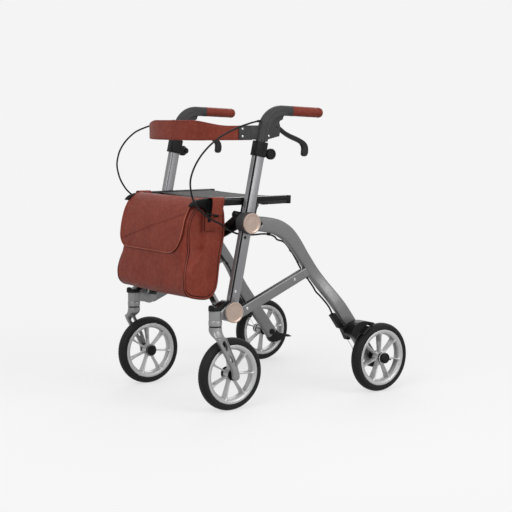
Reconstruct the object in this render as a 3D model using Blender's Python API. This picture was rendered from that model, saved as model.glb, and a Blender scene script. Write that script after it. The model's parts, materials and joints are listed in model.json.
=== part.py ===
"""Four-wheel rollator that folds side to side, modelled piece by piece.

Metres, +Z up. -Y is the way it travels and +X is the user's left. Every sub-part is one named object
with its own material. The left half is modelled, and the right half is its mirror image.
"""

import math

import bmesh
import bpy
from mathutils import Matrix, Vector

# Clearances
GAP = 0.0003
BUSH_GAP = 0.0003
SIDE_PLAY = 0.0005

# How far pieces of one solid reach into each other before they are fused
OVERLAP = 0.002

# Rounded edge of an axle's cap
CAP_EDGE = 0.002

# Wheels
WHEEL_RADIUS = 0.100
TYRE_WIDTH = 0.033
TYRE_HEIGHT = 0.0184
RIM_RADIUS = WHEEL_RADIUS - TYRE_HEIGHT
RIM_WIDTH = 0.030
RIM_WALL = 0.0135
SPOKES = 7
SPOKE_THICKNESS = 0.0045
SPOKE_RIM_DEPTH = 0.026
SPOKE_HUB_DEPTH = 0.017
# How far the left and the right wheel stand turned
REAR_SPOKE_TURNS = (math.radians(1.6), math.radians(18.5))
FRONT_SPOKE_TURNS = (math.radians(9.3), math.radians(5.0))
HUB_RADIUS = 0.017
AXLE_RADIUS = 0.005
AXLE_HEAD_RADIUS = 0.009
HUB_CAP_RADIUS = 0.0150
HUB_CAP_LENGTH = 0.015
FRONT_CAP_RADIUS = 0.0180
FRONT_CAP_LENGTH = 0.004
WHEEL_STEPS = 32

# Where the wheels stand
REAR_WHEEL_X = 0.284
FRONT_WHEEL_X = 0.212
STEER_Y = -0.289
CASTER_TRAIL = 0.048
FRONT_WHEEL_Y = STEER_Y + CASTER_TRAIL

# Uprights: a rectangular tube leaning back, with an open corner groove
LEAN = math.radians(12.43)
UPRIGHT_X = 0.211
UPRIGHT_FOOT_Y = -0.231
UPRIGHT_FOOT_Z = 0.298
UPRIGHT_WIDTH = 0.020
UPRIGHT_DEPTH = 0.030
UPRIGHT_WALL = 0.0030
UPRIGHT_GROOVE = 0.003
UPRIGHT_BOTTOM_Z = 0.264
UPRIGHT_TOP_Z = 0.712

# Telescopic handle post and its clamp
POST_CLEARANCE = 0.0004
POST_CHAMFER = 0.0025
POST_BOTTOM_Z = 0.500
POST_TOP_Z = 0.756
COLLAR_BOTTOM_Z = 0.689
COLLAR_TOP_Z = 0.7280
COLLAR_WALL = 0.0035
CLAMP_Y = -0.1085
CLAMP_Z = 0.694
CLAMP_EAR_RADIUS = 0.009
CLAMP_EAR_X = (0.1985, 0.2110)
CLAMP_BOLT_RADIUS = 0.003
KNOB_RADIUS = 0.0150
KNOB_LENGTH = 0.014

# Handles
HANDLE_BASE_Z = 0.7305
HANDLE_BEND_Z = 0.762
HANDLE_BEND_RADIUS = 0.064
HANDLE_HALF_WIDTH = 0.0130
HANDLE_HALF_DEPTH = 0.0140
GRIP_DROOP = math.radians(2.5)
GRIP_START_Y = -0.032
GRIP_LENGTH = 0.108
GRIP_RADIUS = 0.0136
GRIP_CORE_RADIUS = 0.008
GRIP_CORE_LENGTH = 0.070
LEVER_PIVOT_Y = -0.088
LEVER_PIVOT_Z = 0.768
LEVER_WIDTH = 0.010
LEVER_PIN_RADIUS = 0.0025
LEVER_HOUSING_WIDTH = 0.019
STRAP_PLATE_X = (0.2070, 0.2110)
STRAP_PLATE_FRONT_Y = -0.207
STRAP_PLATE_Z = (0.7338, 0.772)

# Backrest strap
STRAP_THICKNESS = 0.003
STRAP_BOW = 0.082
STRAP_LAP = 0.045
STRAP_END_Z = (0.7325, 0.7715)
STRAP_MIDDLE_Z = (0.7310, 0.7862)

# Upper joint: a moulded drum round the upright with a disc cap
UPPER_HUB_Y = -0.1838
UPPER_HUB_Z = 0.5094
UPPER_HUB_RADIUS = 0.030
UPPER_HUB_X = (0.1990, 0.2325)
CAP_RADIUS = 0.0285
CAP_THICKNESS = 0.006

# Lower joint: a cast bracket with the steering head
LOWER_HUB_Y = -0.2422
LOWER_HUB_Z = 0.272
LOWER_HUB_RADIUS = 0.0275
LOWER_HUB_X = (0.1960, 0.2325)
HEAD_RADIUS = 0.0175
HEAD_RING_RADIUS = 0.0182
HEAD_BOTTOM_Z = 0.2375
HEAD_RING_Z = 0.252
HEAD_TOP_Z = 0.279
STEM_RADIUS = 0.006
FORK_CROWN_Z = (0.220, 0.2350)
FORK_ARM_X = (0.2325, 0.2455)
FORK_END_RADIUS = 0.0105
FORK_END_DROP = 0.0035
FORK_END_WALL = 0.003
FORK_WINDOWS = (
    ((-0.2807, 0.2008), (-0.2870, 0.1927), (-0.2807, 0.1827), (-0.2722, 0.1700), (-0.2690, 0.1760),
     (-0.2721, 0.1882)),
    ((-0.2635, 0.1585), (-0.2651, 0.1535), (-0.2589, 0.1409), (-0.2533, 0.1370), (-0.2510, 0.1399),
     (-0.2573, 0.1525)),
)

# Rear leg: centre line as (x, y, z, height of the section)
LEG_WIDTH = 0.022
LEG_STATIONS = (
    (0.211, -0.1720, 0.5065, 0.0400),
    (0.211, -0.1400, 0.5040, 0.0410),
    (0.211, -0.1050, 0.4985, 0.0430),
    (0.211, -0.0740, 0.4890, 0.0440),
    (0.211, -0.0440, 0.4710, 0.0430),
    (0.211, -0.0180, 0.4440, 0.0400),
    (0.211, 0.0100, 0.4070, 0.0360),
    (0.211, 0.0400, 0.3672, 0.0350),
    (0.214, 0.0600, 0.3407, 0.0350),
    (0.221, 0.0800, 0.3142, 0.0350),
    (0.230, 0.1000, 0.2876, 0.0365),
    (0.237, 0.1200, 0.2610, 0.0385),
    (0.240, 0.1450, 0.2278, 0.0395),
    (0.240, 0.2470, 0.0920, 0.0395),
)
LEG_CORNER = 0.006

# The axles are drawn level with the foot of the leg, and the whole is then stood on its wheels
AXLE_FROM_FOOT = (-0.0060, 0.0080)
REAR_WHEEL_Y = LEG_STATIONS[-1][1] + AXLE_FROM_FOOT[0]
AXLE_Z = LEG_STATIONS[-1][2] + AXLE_FROM_FOOT[1]

# Lower rail between the cast bracket and the rear leg
RAIL_X = (0.2020, 0.2200)
RAIL_HEIGHT = 0.0280
RAIL_FRONT = (-0.2300, 0.2568)
RAIL_REAR = (0.0450, 0.3683)

# Scissor fold, in the plane that leans with the uprights
SCISSOR_X = 0.174
SCISSOR_Y = -0.2498
SCISSOR_Z = 0.283
SEAT_PIVOT_X = 0.186
SEAT_PIVOT_Z = 0.530
FOLDED_HALF_X = 0.034
BAR_HEIGHT = 0.020
BAR_THICKNESS = 0.012
BAR_EYE_RADIUS = 0.0095
PIN_RADIUS = 0.004
LUG_THICKNESS = 0.005
LINK_PIVOT_X = 0.184
LINK_PIVOT_Z = 0.508
LINK_HEIGHT = 0.020
LINK_THICKNESS = 0.005

# Seat
SEAT_RAIL_X = 0.187
SEAT_RAIL_WIDTH = 0.0200
SEAT_RAIL_Z = (0.5570, 0.5780)
SEAT_RAIL_CORNER = 0.005
SEAT_RAIL_Y = (-0.2790, -0.0205)
SEAT_CAP_LENGTH = 0.010
SEAT_CAP_BOTTOM_Z = 0.5570
SEAT_CAP_STEP = 0.0005
SEAT_SLEEVE_STEP = 0.0005
SEAT_SLEEVE_END_Y = -0.2400
SEAT_FABRIC_Y = (-0.2150, -0.0320)
SEAT_FABRIC_THICKNESS = 0.003
SEAT_FABRIC_TOP_Z = 0.5745
SEAT_FABRIC_SAG = 0.005
SADDLE_Y = (-0.1620, -0.1310)

# Rear brake
BRAKE_HOUSING_X = (0.2535, 0.2900)
BRAKE_SHOE_X = (0.2700, 0.2980)
BRAKE_PIVOT_ANGLE = math.radians(135.165)
BRAKE_PIVOT_OUT = 0.022683
BRAKE_PIVOT_Y = REAR_WHEEL_Y + (WHEEL_RADIUS + BRAKE_PIVOT_OUT) * math.cos(BRAKE_PIVOT_ANGLE)
BRAKE_PIVOT_Z = AXLE_Z + (WHEEL_RADIUS + BRAKE_PIVOT_OUT) * math.sin(BRAKE_PIVOT_ANGLE)
BRAKE_HOOD = (
    (143.55, 0.0380), (134.14, 0.0407), (126.58, 0.0376), (119.36, 0.0285), (111.62, 0.0167), (102.93, 0.0072),
)
BRAKE_PIN_RADIUS = 0.003
SHOE_REST_GAP = 0.0022
KERB_PEDAL_TIP = (0.3230, 0.0755)

# Bag
BAG_HALF_WIDTH = 0.1740
BAG_FRONT_TUCK = 0.016
BAG_FRONT_INSET = 0.014
BAG_TUCK_Z = (0.350, 0.440)
BAG_TUCK_Y = (-0.262, -0.290)
BAG_EDGE = 0.024
FLAP_THICKNESS = 0.003
FLAP_LIFT = 0.0015
BAG_STEP = 0.009
FLAP_HALF_WIDTH = 0.1600
BAG_LOOP_WALL = 0.0028
BAG_LOOP_REACH = 0.006
BAG_LOOP_TOP_Y = (-0.2814, -0.2430)
BAG_LOOP_BOTTOM = ((-0.2507, 0.5300), (-0.2897, 0.5360))

# Brake cables
CABLE_RADIUS = 0.0025
CABLE_STEP = 0.0150

COLOURS = {
    "aluminium": ((0.43, 0.43, 0.43), 0.35, 1.0),
    "leg": ((0.21, 0.21, 0.21), 0.38, 0.9),
    "casting": ((0.50, 0.50, 0.50), 0.35, 1.0),
    "rose": ((0.49, 0.37, 0.30), 0.35, 0.8),
    "charcoal": ((0.055, 0.055, 0.057), 0.55, 0.0),
    "black": ((0.012, 0.012, 0.012), 0.50, 0.0),
    "rubber": ((0.026, 0.026, 0.027), 0.75, 0.0),
    "rim": ((0.52, 0.52, 0.52), 0.40, 0.3),
    "steel": ((0.45, 0.45, 0.46), 0.30, 1.0),
    "leather": ((0.205, 0.040, 0.027), 0.50, 0.0),
    "seat": ((0.105, 0.100, 0.100), 0.85, 0.0),
}

IDENTITY = Matrix.Identity(4)


def frame(a, b, c, origin=(0, 0, 0)):
    """Matrix that takes local (a, b, c) to the world."""
    rows = [list(a) + [0], list(b) + [0], list(c) + [0], list(origin) + [1]]
    return Matrix(rows).transposed()


LEAN_UP = Vector((0, math.sin(LEAN), math.cos(LEAN)))
LEAN_BACK = Vector((0, math.cos(LEAN), -math.sin(LEAN)))
AXIS_X = Vector((1, 0, 0))
AXIS_Y = Vector((0, 1, 0))
AXIS_Z = Vector((0, 0, 1))

# Outlines drawn in the side view (y, z) and given a width along X
SIDE = frame(AXIS_Y, AXIS_Z, AXIS_X)
# Sections across an upright, given a length along it
UPRIGHT = frame(AXIS_X, LEAN_BACK, LEAN_UP, (UPRIGHT_X, UPRIGHT_FOOT_Y, UPRIGHT_FOOT_Z))
# Outlines drawn in the scissor plane (x, up along it), given a thickness across it
SCISSOR = frame(AXIS_X, LEAN_UP, LEAN_BACK, (0, SCISSOR_Y, SCISSOR_Z))


def along_lean(z, foot_z=UPRIGHT_FOOT_Z):
    """Distance up the lean that reaches the height z."""
    return (z - foot_z) / math.cos(LEAN)


def scissor_point(x, z):
    """Point of the scissor plane as (x, distance up along it)."""
    return (x, along_lean(z, SCISSOR_Z))


# Meshes

def make(vertices, faces):
    """Object from vertices and faces, with its faces turned outwards."""
    mesh = bpy.data.meshes.new("shape")
    mesh.from_pydata([tuple(v) for v in vertices], [], faces)
    work = bmesh.new()
    work.from_mesh(mesh)
    bmesh.ops.recalc_face_normals(work, faces=work.faces)
    work.to_mesh(mesh)
    work.free()
    obj = bpy.data.objects.new("shape", mesh)
    bpy.context.scene.collection.objects.link(obj)
    return obj


def loft(rings):
    """Closed skin over rings that hold the same number of points."""
    count = len(rings[0])
    vertices = [point for ring in rings for point in ring]
    faces = [list(range(count)), list(range(len(vertices) - count, len(vertices)))]
    for level in range(len(rings) - 1):
        low = level * count
        for i in range(count):
            j = (i + 1) % count
            faces.append([low + i, low + j, low + count + j, low + count + i])
    return make(vertices, faces)


def prism(outline, low, high, axes=IDENTITY):
    """Outline in the first two axes, extruded from low to high along the third."""
    return loft([[axes @ Vector((a, b, c)) for a, b in outline] for c in (low, high)])


def box(low, high, axes=IDENTITY):
    """Box between two corners."""
    outline = [(low[0], low[1]), (high[0], low[1]), (high[0], high[1]), (low[0], high[1])]
    return prism(outline, low[2], high[2], axes)


def circle(radius, centre=(0, 0), steps=24):
    """Points round a circle."""
    turn = [2 * math.pi * i / steps for i in range(steps)]
    return [(centre[0] + radius * math.cos(t), centre[1] + radius * math.sin(t)) for t in turn]


def arc(radius, centre, start, end, steps):
    """Points along an arc, angles in degrees."""
    turn = [math.radians(start + (end - start) * i / steps) for i in range(steps + 1)]
    return [(centre[0] + radius * math.cos(t), centre[1] + radius * math.sin(t)) for t in turn]


def rounded_box(half_a, half_b, radius, steps=2):
    """Rectangle about the origin with round corners."""
    corners = ((half_a, half_b, 0), (-half_a, half_b, 90), (-half_a, -half_b, 180), (half_a, -half_b, 270))
    outline = []
    for a, b, start in corners:
        centre = (a - math.copysign(radius, a), b - math.copysign(radius, b))
        outline += arc(radius, centre, start, start + 90, steps)
    return outline


def slot_outline(start, end, half_width, steps=8):
    """Outline of a bar with round ends between two points."""
    heading = math.degrees(math.atan2(end[1] - start[1], end[0] - start[0]))
    return arc(half_width, end, heading - 90, heading + 90, steps) + arc(
        half_width, start, heading + 90, heading + 270, steps)


def turned(profile, axes, steps=16):
    """Closed profile (radius, height) turned about the third axis; it may touch the axis."""
    vertices = []
    rings = []
    for radius, height in profile:
        if radius < 1e-9:
            rings.append([len(vertices)])
            vertices.append(axes @ Vector((0, 0, height)))
            continue
        rings.append(list(range(len(vertices), len(vertices) + steps)))
        vertices += [axes @ Vector((a, b, height)) for a, b in circle(radius, steps=steps)]
    faces = []
    for here, there in zip(rings, rings[1:] + rings[:1]):
        if len(here) == 1 and len(there) == 1:
            continue
        for i in range(steps):
            j = (i + 1) % steps
            corners = [here[i % len(here)], here[j % len(here)], there[j % len(there)], there[i % len(there)]]
            faces.append(list(dict.fromkeys(corners)))
    return make(vertices, faces)


def rod(radius, low, high, axes, centre=(0, 0), steps=12):
    """Cylinder along the third axis."""
    return prism(circle(radius, centre, steps), low, high, axes)


def x_axis_at(y, z, x=0.0):
    """Axes for something turned about a line along X."""
    return frame(AXIS_Y, AXIS_Z, AXIS_X, (x, y, z))


def combine(target, others, operation):
    """Apply Booleans between a target and other objects, and remove those."""
    for other in others:
        step = target.modifiers.new("combine", "BOOLEAN")
        step.operation = operation
        step.object = other
    evaluated = target.evaluated_get(bpy.context.evaluated_depsgraph_get())
    mesh = bpy.data.meshes.new_from_object(evaluated)
    target.modifiers.clear()
    target.data = mesh
    for other in others:
        bpy.data.objects.remove(other)
    return target


def fuse(target, *others):
    """Join shapes that cross into one body."""
    return combine(target, others, "UNION")


def cut(target, *others):
    """Take shapes away from a body."""
    return combine(target, others, "DIFFERENCE")


def bevelled(obj, width, segments=1, angle=40):
    """Ease the sharp edges of a shape."""
    step = obj.modifiers.new("ease", "BEVEL")
    step.width = width
    step.segments = segments
    step.limit_method = "ANGLE"
    step.angle_limit = math.radians(angle)
    return combine(obj, (), "UNION")


def smooth_curve(points, step):
    """Points at even distance along a smooth curve through the given points."""
    points = [Vector(p) for p in points]
    ends = [points[0] * 2 - points[1]] + points + [points[-1] * 2 - points[-2]]
    fine = []
    for a, b, c, d in zip(ends, ends[1:], ends[2:], ends[3:]):
        for i in range(20):
            t = i / 20
            fine.append(0.5 * (2 * b + (c - a) * t + (2 * a - 5 * b + 4 * c - d) * t * t
                               + (3 * b - a - 3 * c + d) * t ** 3))
    fine.append(points[-1])
    lengths = [0.0]
    for a, b in zip(fine, fine[1:]):
        lengths.append(lengths[-1] + (b - a).length)
    count = max(2, round(lengths[-1] / step))
    result = []
    place = 0
    for i in range(count + 1):
        want = lengths[-1] * i / count
        while place < len(fine) - 2 and lengths[place + 1] < want:
            place += 1
        share = (want - lengths[place]) / (lengths[place + 1] - lengths[place])
        result.append(fine[place].lerp(fine[place + 1], share))
    return result


# Materials and objects

def material(name):
    """Principled material from the colour table."""
    known = bpy.data.materials.get(name)
    if known:
        return known
    colour, roughness, metallic = COLOURS[name]
    made = bpy.data.materials.new(name)
    made.use_nodes = True
    shader = made.node_tree.nodes["Principled BSDF"]
    shader.inputs["Base Color"].default_value = (*colour, 1)
    shader.inputs["Roughness"].default_value = roughness
    shader.inputs["Metallic"].default_value = metallic
    made.diffuse_color = (*colour, 1)
    return made


def empty(name, place, parent):
    """Empty that carries a group of pieces."""
    obj = bpy.data.objects.new(name, None)
    bpy.context.scene.collection.objects.link(obj)
    obj.parent = parent
    world = Vector(place)
    obj.location = world - anchor(parent)
    obj["place"] = world[:]
    return obj


def anchor(obj):
    """Place of an empty in the drawing."""
    return Vector(obj["place"]) if obj else Vector((0, 0, 0))


def piece(name, obj, finish, origin, parent, smooth=35):
    """Name a shape, give it its material, and put its origin on a point of the drawing."""
    obj.name = name
    obj.data.name = name
    obj.data.materials.clear()
    obj.data.materials.append(material(finish))
    obj.data.transform(Matrix.Translation(-Vector(origin)))
    obj.data.shade_smooth()
    obj.data.set_sharp_from_angle(angle=math.radians(smooth))
    obj.parent = parent
    obj.location = Vector(origin) - anchor(parent)
    return obj


def mirror_copy(obj):
    """Mirror image of a shape through the middle plane."""
    mesh = obj.data.copy()
    mesh.transform(Matrix.Scale(-1, 4, AXIS_X))
    mesh.flip_normals()
    copy = bpy.data.objects.new("shape", mesh)
    bpy.context.scene.collection.objects.link(copy)
    return copy


def pair(name, obj, finish, origin, parents, smooth=35):
    """A left piece and its mirror image on the right."""
    other = mirror_copy(obj)
    mirrored = (-origin[0], origin[1], origin[2])
    piece(name + "_left", obj, finish, origin, parents[0], smooth)
    piece(name + "_right", other, finish, mirrored, parents[1], smooth)


def both(name, place, parents):
    """Empties for a left group and its mirror image."""
    mirrored = (-place[0], place[1], place[2])
    return (empty(name + "_left", place, parents[0]), empty(name + "_right", mirrored, parents[1]))


# Wheels

def tyre(x, y):
    """Solid tyre with a round crown, seated on the rim."""
    half = TYRE_WIDTH / 2
    seat = RIM_RADIUS + GAP
    profile = [(seat, -half), (WHEEL_RADIUS - 0.008, -half), (WHEEL_RADIUS - 0.0025, -half + 0.005),
               (WHEEL_RADIUS, -half + 0.011), (WHEEL_RADIUS, half - 0.011),
               (WHEEL_RADIUS - 0.0025, half - 0.005), (WHEEL_RADIUS - 0.008, half), (seat, half)]
    return turned(profile, x_axis_at(y, AXLE_Z, x), WHEEL_STEPS)


def rim(x, y, hub_low, hub_high, stand):
    """Rim with tapered, flat-bladed spokes and a bored hub."""
    axes = x_axis_at(y, AXLE_Z, x)
    half = RIM_WIDTH / 2
    inner = RIM_RADIUS - RIM_WALL
    ring = turned([(RIM_RADIUS, -half), (RIM_RADIUS, half), (inner, half - 0.003), (inner, -half + 0.003)],
                  axes, WHEEL_STEPS)
    hub = rod(HUB_RADIUS, hub_low, hub_high, axes, steps=SPOKES * 2)
    spokes = []
    for i in range(SPOKES):
        turn = Matrix.Rotation(2 * math.pi * i / SPOKES + math.pi / 2 + stand, 4, AXIS_Z)
        root = HUB_RADIUS - OVERLAP
        outer = inner + OVERLAP
        blade = [(root, -SPOKE_HUB_DEPTH / 2), (outer, -SPOKE_RIM_DEPTH / 2),
                 (outer, SPOKE_RIM_DEPTH / 2), (root, SPOKE_HUB_DEPTH / 2)]
        rings = [[axes @ turn @ Vector((r, side, h)) for r, h in blade]
                 for side in (-SPOKE_THICKNESS / 2, SPOKE_THICKNESS / 2)]
        spokes.append(loft(rings))
    fuse(ring, hub, *spokes)
    return cut(ring, rod(AXLE_RADIUS + BUSH_GAP, -0.05, 0.05, axes))


def rims(name, place, parents, turns):
    """Left and right rim of two wheels, each as its wheel stands."""
    hub_half = TYRE_WIDTH / 2
    mirrored = (-place[0], place[1], place[2])
    left = rim(place[0], place[1], -hub_half, hub_half, turns[0])
    drawn = rim(place[0], place[1], -hub_half, hub_half, turns[1])
    right = mirror_copy(drawn)
    bpy.data.objects.remove(drawn)
    piece(name + "_left", left, "rim", place, parents[0])
    piece(name + "_right", right, "rim", mirrored, parents[1])


def rear_wheel_pieces(frames):
    """Rear tyres, rims and their axles."""
    place = (REAR_WHEEL_X, REAR_WHEEL_Y, AXLE_Z)
    wheels = both("rear_wheel", place, frames)
    hub_half = TYRE_WIDTH / 2
    pair("rear_tyre", tyre(REAR_WHEEL_X, REAR_WHEEL_Y), "rubber", place, wheels)
    rims("rear_rim", place, wheels, REAR_SPOKE_TURNS)
    leg_x = LEG_STATIONS[-1][0]
    leg_in = leg_x - LEG_WIDTH / 2 - GAP
    leg_out = leg_x + LEG_WIDTH / 2 + GAP
    hub_in = REAR_WHEEL_X - hub_half - SIDE_PLAY
    hub_out = REAR_WHEEL_X + hub_half + SIDE_PLAY
    rounded = HUB_CAP_RADIUS - 0.003
    profile = [(0, leg_in - 0.005), (AXLE_HEAD_RADIUS, leg_in - 0.005), (AXLE_HEAD_RADIUS, leg_in),
               (AXLE_RADIUS, leg_in), (AXLE_RADIUS, leg_out), (AXLE_HEAD_RADIUS, leg_out),
               (AXLE_HEAD_RADIUS, hub_in), (AXLE_RADIUS, hub_in), (AXLE_RADIUS, hub_out),
               (HUB_CAP_RADIUS, hub_out), (HUB_CAP_RADIUS, hub_out + HUB_CAP_LENGTH - 0.003),
               (rounded, hub_out + HUB_CAP_LENGTH), (0, hub_out + HUB_CAP_LENGTH)]
    axle = turned(profile, x_axis_at(REAR_WHEEL_Y, AXLE_Z))
    pair("rear_axle", axle, "black", place, frames)


def front_wheel_pieces(casters):
    """Front tyres, rims and their axles, carried by the forks."""
    place = (FRONT_WHEEL_X, FRONT_WHEEL_Y, AXLE_Z)
    wheels = both("front_wheel", place, casters)
    hub_half = TYRE_WIDTH / 2
    pair("front_tyre", tyre(FRONT_WHEEL_X, FRONT_WHEEL_Y), "rubber", place, wheels)
    rims("front_rim", place, wheels, FRONT_SPOKE_TURNS)
    cap_in = FRONT_WHEEL_X - hub_half - SIDE_PLAY
    hub_out = FRONT_WHEEL_X + hub_half + SIDE_PLAY
    arm_in = FORK_ARM_X[0] - GAP
    axle_end = FORK_ARM_X[1] - FORK_END_WALL - GAP
    rounded = FRONT_CAP_RADIUS - CAP_EDGE
    profile = [(0, cap_in - FRONT_CAP_LENGTH), (rounded, cap_in - FRONT_CAP_LENGTH),
               (FRONT_CAP_RADIUS, cap_in - FRONT_CAP_LENGTH + CAP_EDGE), (FRONT_CAP_RADIUS, cap_in),
               (AXLE_RADIUS, cap_in), (AXLE_RADIUS, hub_out), (AXLE_HEAD_RADIUS, hub_out),
               (AXLE_HEAD_RADIUS, arm_in), (AXLE_RADIUS, arm_in), (AXLE_RADIUS, axle_end),
               (0, axle_end)]
    axle = turned(profile, x_axis_at(FRONT_WHEEL_Y, AXLE_Z))
    pair("front_axle", axle, "steel", place, casters)


def fork():
    """Single-arm caster fork with its crown and stem."""
    steer = frame(AXIS_X, AXIS_Y, AXIS_Z, (FRONT_WHEEL_X, STEER_Y, 0))
    crown = rod(HEAD_RADIUS, FORK_CROWN_Z[0], FORK_CROWN_Z[1], steer, steps=24)
    stem = rod(STEM_RADIUS, FORK_CROWN_Z[0] + 0.004, HEAD_TOP_Z - 0.002, steer)
    eye = (FRONT_WHEEL_Y, AXLE_Z)
    arm_outline = [(-0.3045, 0.2340), (-0.3060, 0.2200), (-0.2990, 0.1950), (-0.2800, 0.1620),
                   (-0.2630, 0.1330), (-0.2515, 0.1080)]
    arm_outline += arc(FORK_END_RADIUS, (eye[0], eye[1] - FORK_END_DROP), 180, 360, 8)
    arm_outline += [(-0.2327, 0.1074), (-0.2383, 0.1278), (-0.2446, 0.1457), (-0.2556, 0.1680),
                    (-0.2650, 0.1900), (-0.2736, 0.2117), (-0.2780, 0.2240), (-0.2780, 0.2340)]
    arm = prism(arm_outline, FORK_ARM_X[0], FORK_ARM_X[1], SIDE)
    bridge_outline = [(-0.3045, 0.2345), (-0.3050, 0.2150), (-0.2900, 0.2070), (-0.2740, 0.2130),
                      (-0.2740, 0.2345)]
    bridge = prism(bridge_outline, FRONT_WHEEL_X, FORK_ARM_X[1] - 0.001, SIDE)
    fuse(crown, stem, bridge, arm)
    inner = FORK_ARM_X[0] - OVERLAP
    outer = FORK_ARM_X[1] + OVERLAP
    windows = [prism(window, inner, outer, SIDE) for window in FORK_WINDOWS]
    return cut(crown, *windows, rod(AXLE_RADIUS + GAP, inner, FORK_ARM_X[1] - FORK_END_WALL, SIDE, eye))


# Side frames

def upright_section(grow=0.0):
    """Outer section of an upright, for a cutter when it is grown."""
    a = UPRIGHT_WIDTH / 2 + grow
    b = UPRIGHT_DEPTH / 2 + grow
    return [(-a, -b), (a, -b), (a, b), (-a, b)]


def post_section(grow=0.0):
    """Section of the telescopic post, with one corner cut off beside the upright's groove."""
    a = UPRIGHT_WIDTH / 2 - UPRIGHT_WALL - POST_CLEARANCE + grow
    b = UPRIGHT_DEPTH / 2 - UPRIGHT_WALL - POST_CLEARANCE + grow
    chamfer = POST_CHAMFER
    return [(-a, -b), (a - chamfer, -b), (a, -b + chamfer), (a, b), (-a, b)]


def upright():
    """Rectangular tube, open at both ends, with the groove at its front outer corner."""
    a = UPRIGHT_WIDTH / 2
    b = UPRIGHT_DEPTH / 2
    groove = UPRIGHT_GROOVE
    ease = 0.0015
    section = [(-a, -b + ease), (-a + ease, -b), (a - groove, -b), (a - groove, -b + groove * 0.6),
               (a - groove * 0.6, -b + groove), (a, -b + groove), (a, b - ease), (a - ease, b),
               (-a + ease, b), (-a, b - ease)]
    tube = prism(section, along_lean(UPRIGHT_BOTTOM_Z), along_lean(UPRIGHT_TOP_Z), UPRIGHT)
    return cut(tube, prism(post_section(POST_CLEARANCE), -1, 1, UPRIGHT))


def upright_cutter():
    """Room for the upright in what it passes through."""
    return prism(upright_section(GAP), along_lean(UPRIGHT_BOTTOM_Z) - GAP, 1, UPRIGHT)


def leg_rings(grow=0.0):
    """Sections of the rear leg along its centre line."""
    rings = []
    points = [Vector(s[:3]) for s in LEG_STATIONS]
    for i, (x, y, z, height) in enumerate(LEG_STATIONS):
        ahead = points[min(i + 1, len(points) - 1)] - points[max(i - 1, 0)]
        side = Vector((ahead.y, -ahead.x, 0)).normalized() * -1
        side = AXIS_X if side.dot(AXIS_X) >= 0 else -AXIS_X
        up = ahead.cross(side).normalized()
        if up.z < 0:
            up = -up
        across = up.cross(ahead).normalized()
        if across.x < 0:
            across = -across
        section = rounded_box(LEG_WIDTH / 2 + grow, height / 2 + grow, LEG_CORNER, 2)
        rings.append([Vector((x, y, z)) + across * a + up * b for a, b in section])
    return rings


def rear_leg():
    """Bent leg from the upper joint down and outwards to the rear axle."""
    leg = loft(leg_rings())
    hub_axes = x_axis_at(UPPER_HUB_Y, UPPER_HUB_Z)
    return cut(leg, rod(UPPER_HUB_RADIUS + GAP, 0.1, 0.3, hub_axes, steps=24),
               rod(AXLE_RADIUS + GAP, 0.1, 0.4, x_axis_at(REAR_WHEEL_Y, AXLE_Z)))


def lower_rail():
    """Flat tube from the cast bracket to the rear leg, shaped to both."""
    start = Vector(RAIL_FRONT)
    end = Vector(RAIL_REAR)
    ahead = (end - start).normalized()
    up = Vector((-ahead.y, ahead.x)) * (RAIL_HEIGHT / 2)
    section = [(p.x, p.y) for p in (start - up, end - up, end + up, start + up)]
    rail = prism(section, RAIL_X[0], RAIL_X[1], SIDE)
    bevelled(rail, 0.002)
    return cut(rail, loft(leg_rings(GAP)),
               rod(LOWER_HUB_RADIUS + GAP, 0.1, 0.3, x_axis_at(LOWER_HUB_Y, LOWER_HUB_Z), steps=24))


def upper_hub():
    """Moulded drum round the upright, with the fold link's cheek and the seat rail's saddle."""
    hub = rod(UPPER_HUB_RADIUS, UPPER_HUB_X[0], UPPER_HUB_X[1], SIDE, (UPPER_HUB_Y, UPPER_HUB_Z), 24)
    bevelled(hub, 0.003)
    pivot = scissor_point(LINK_PIVOT_X, LINK_PIVOT_Z)
    wall = UPPER_HUB_X[0] + 0.0006
    low = LINK_FIRST + LINK_THICKNESS + SIDE_PLAY
    high = low + LUG_THICKNESS
    radius = LINK_HEIGHT / 2
    cheek_outline = [(wall + 0.004, pivot[1] - radius - 0.004), (wall + 0.004, pivot[1] + radius + 0.010)]
    cheek_outline += arc(radius, pivot, 90, 270, 8)
    cheek = prism(cheek_outline, low, high, SCISSOR)
    saddle_outline = [(-0.1700, 0.5050), (-0.1540, 0.5050), (-0.1440, 0.5250), (-0.1405, 0.5400),
                      (-0.1360, 0.5500), (SADDLE_Y[1], SEAT_RAIL_Z[0] - GAP),
                      (SADDLE_Y[0], SEAT_RAIL_Z[0] - GAP), (-0.1650, 0.5350), (-0.1700, 0.5200)]
    saddle = prism(saddle_outline, SEAT_RAIL_X - 0.002, wall, SIDE)
    fuse(hub, cheek, saddle)
    return cut(hub, upright_cutter(), rod(PIN_RADIUS + BUSH_GAP, low - 0.01, high + 0.01, SCISSOR, pivot))


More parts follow.
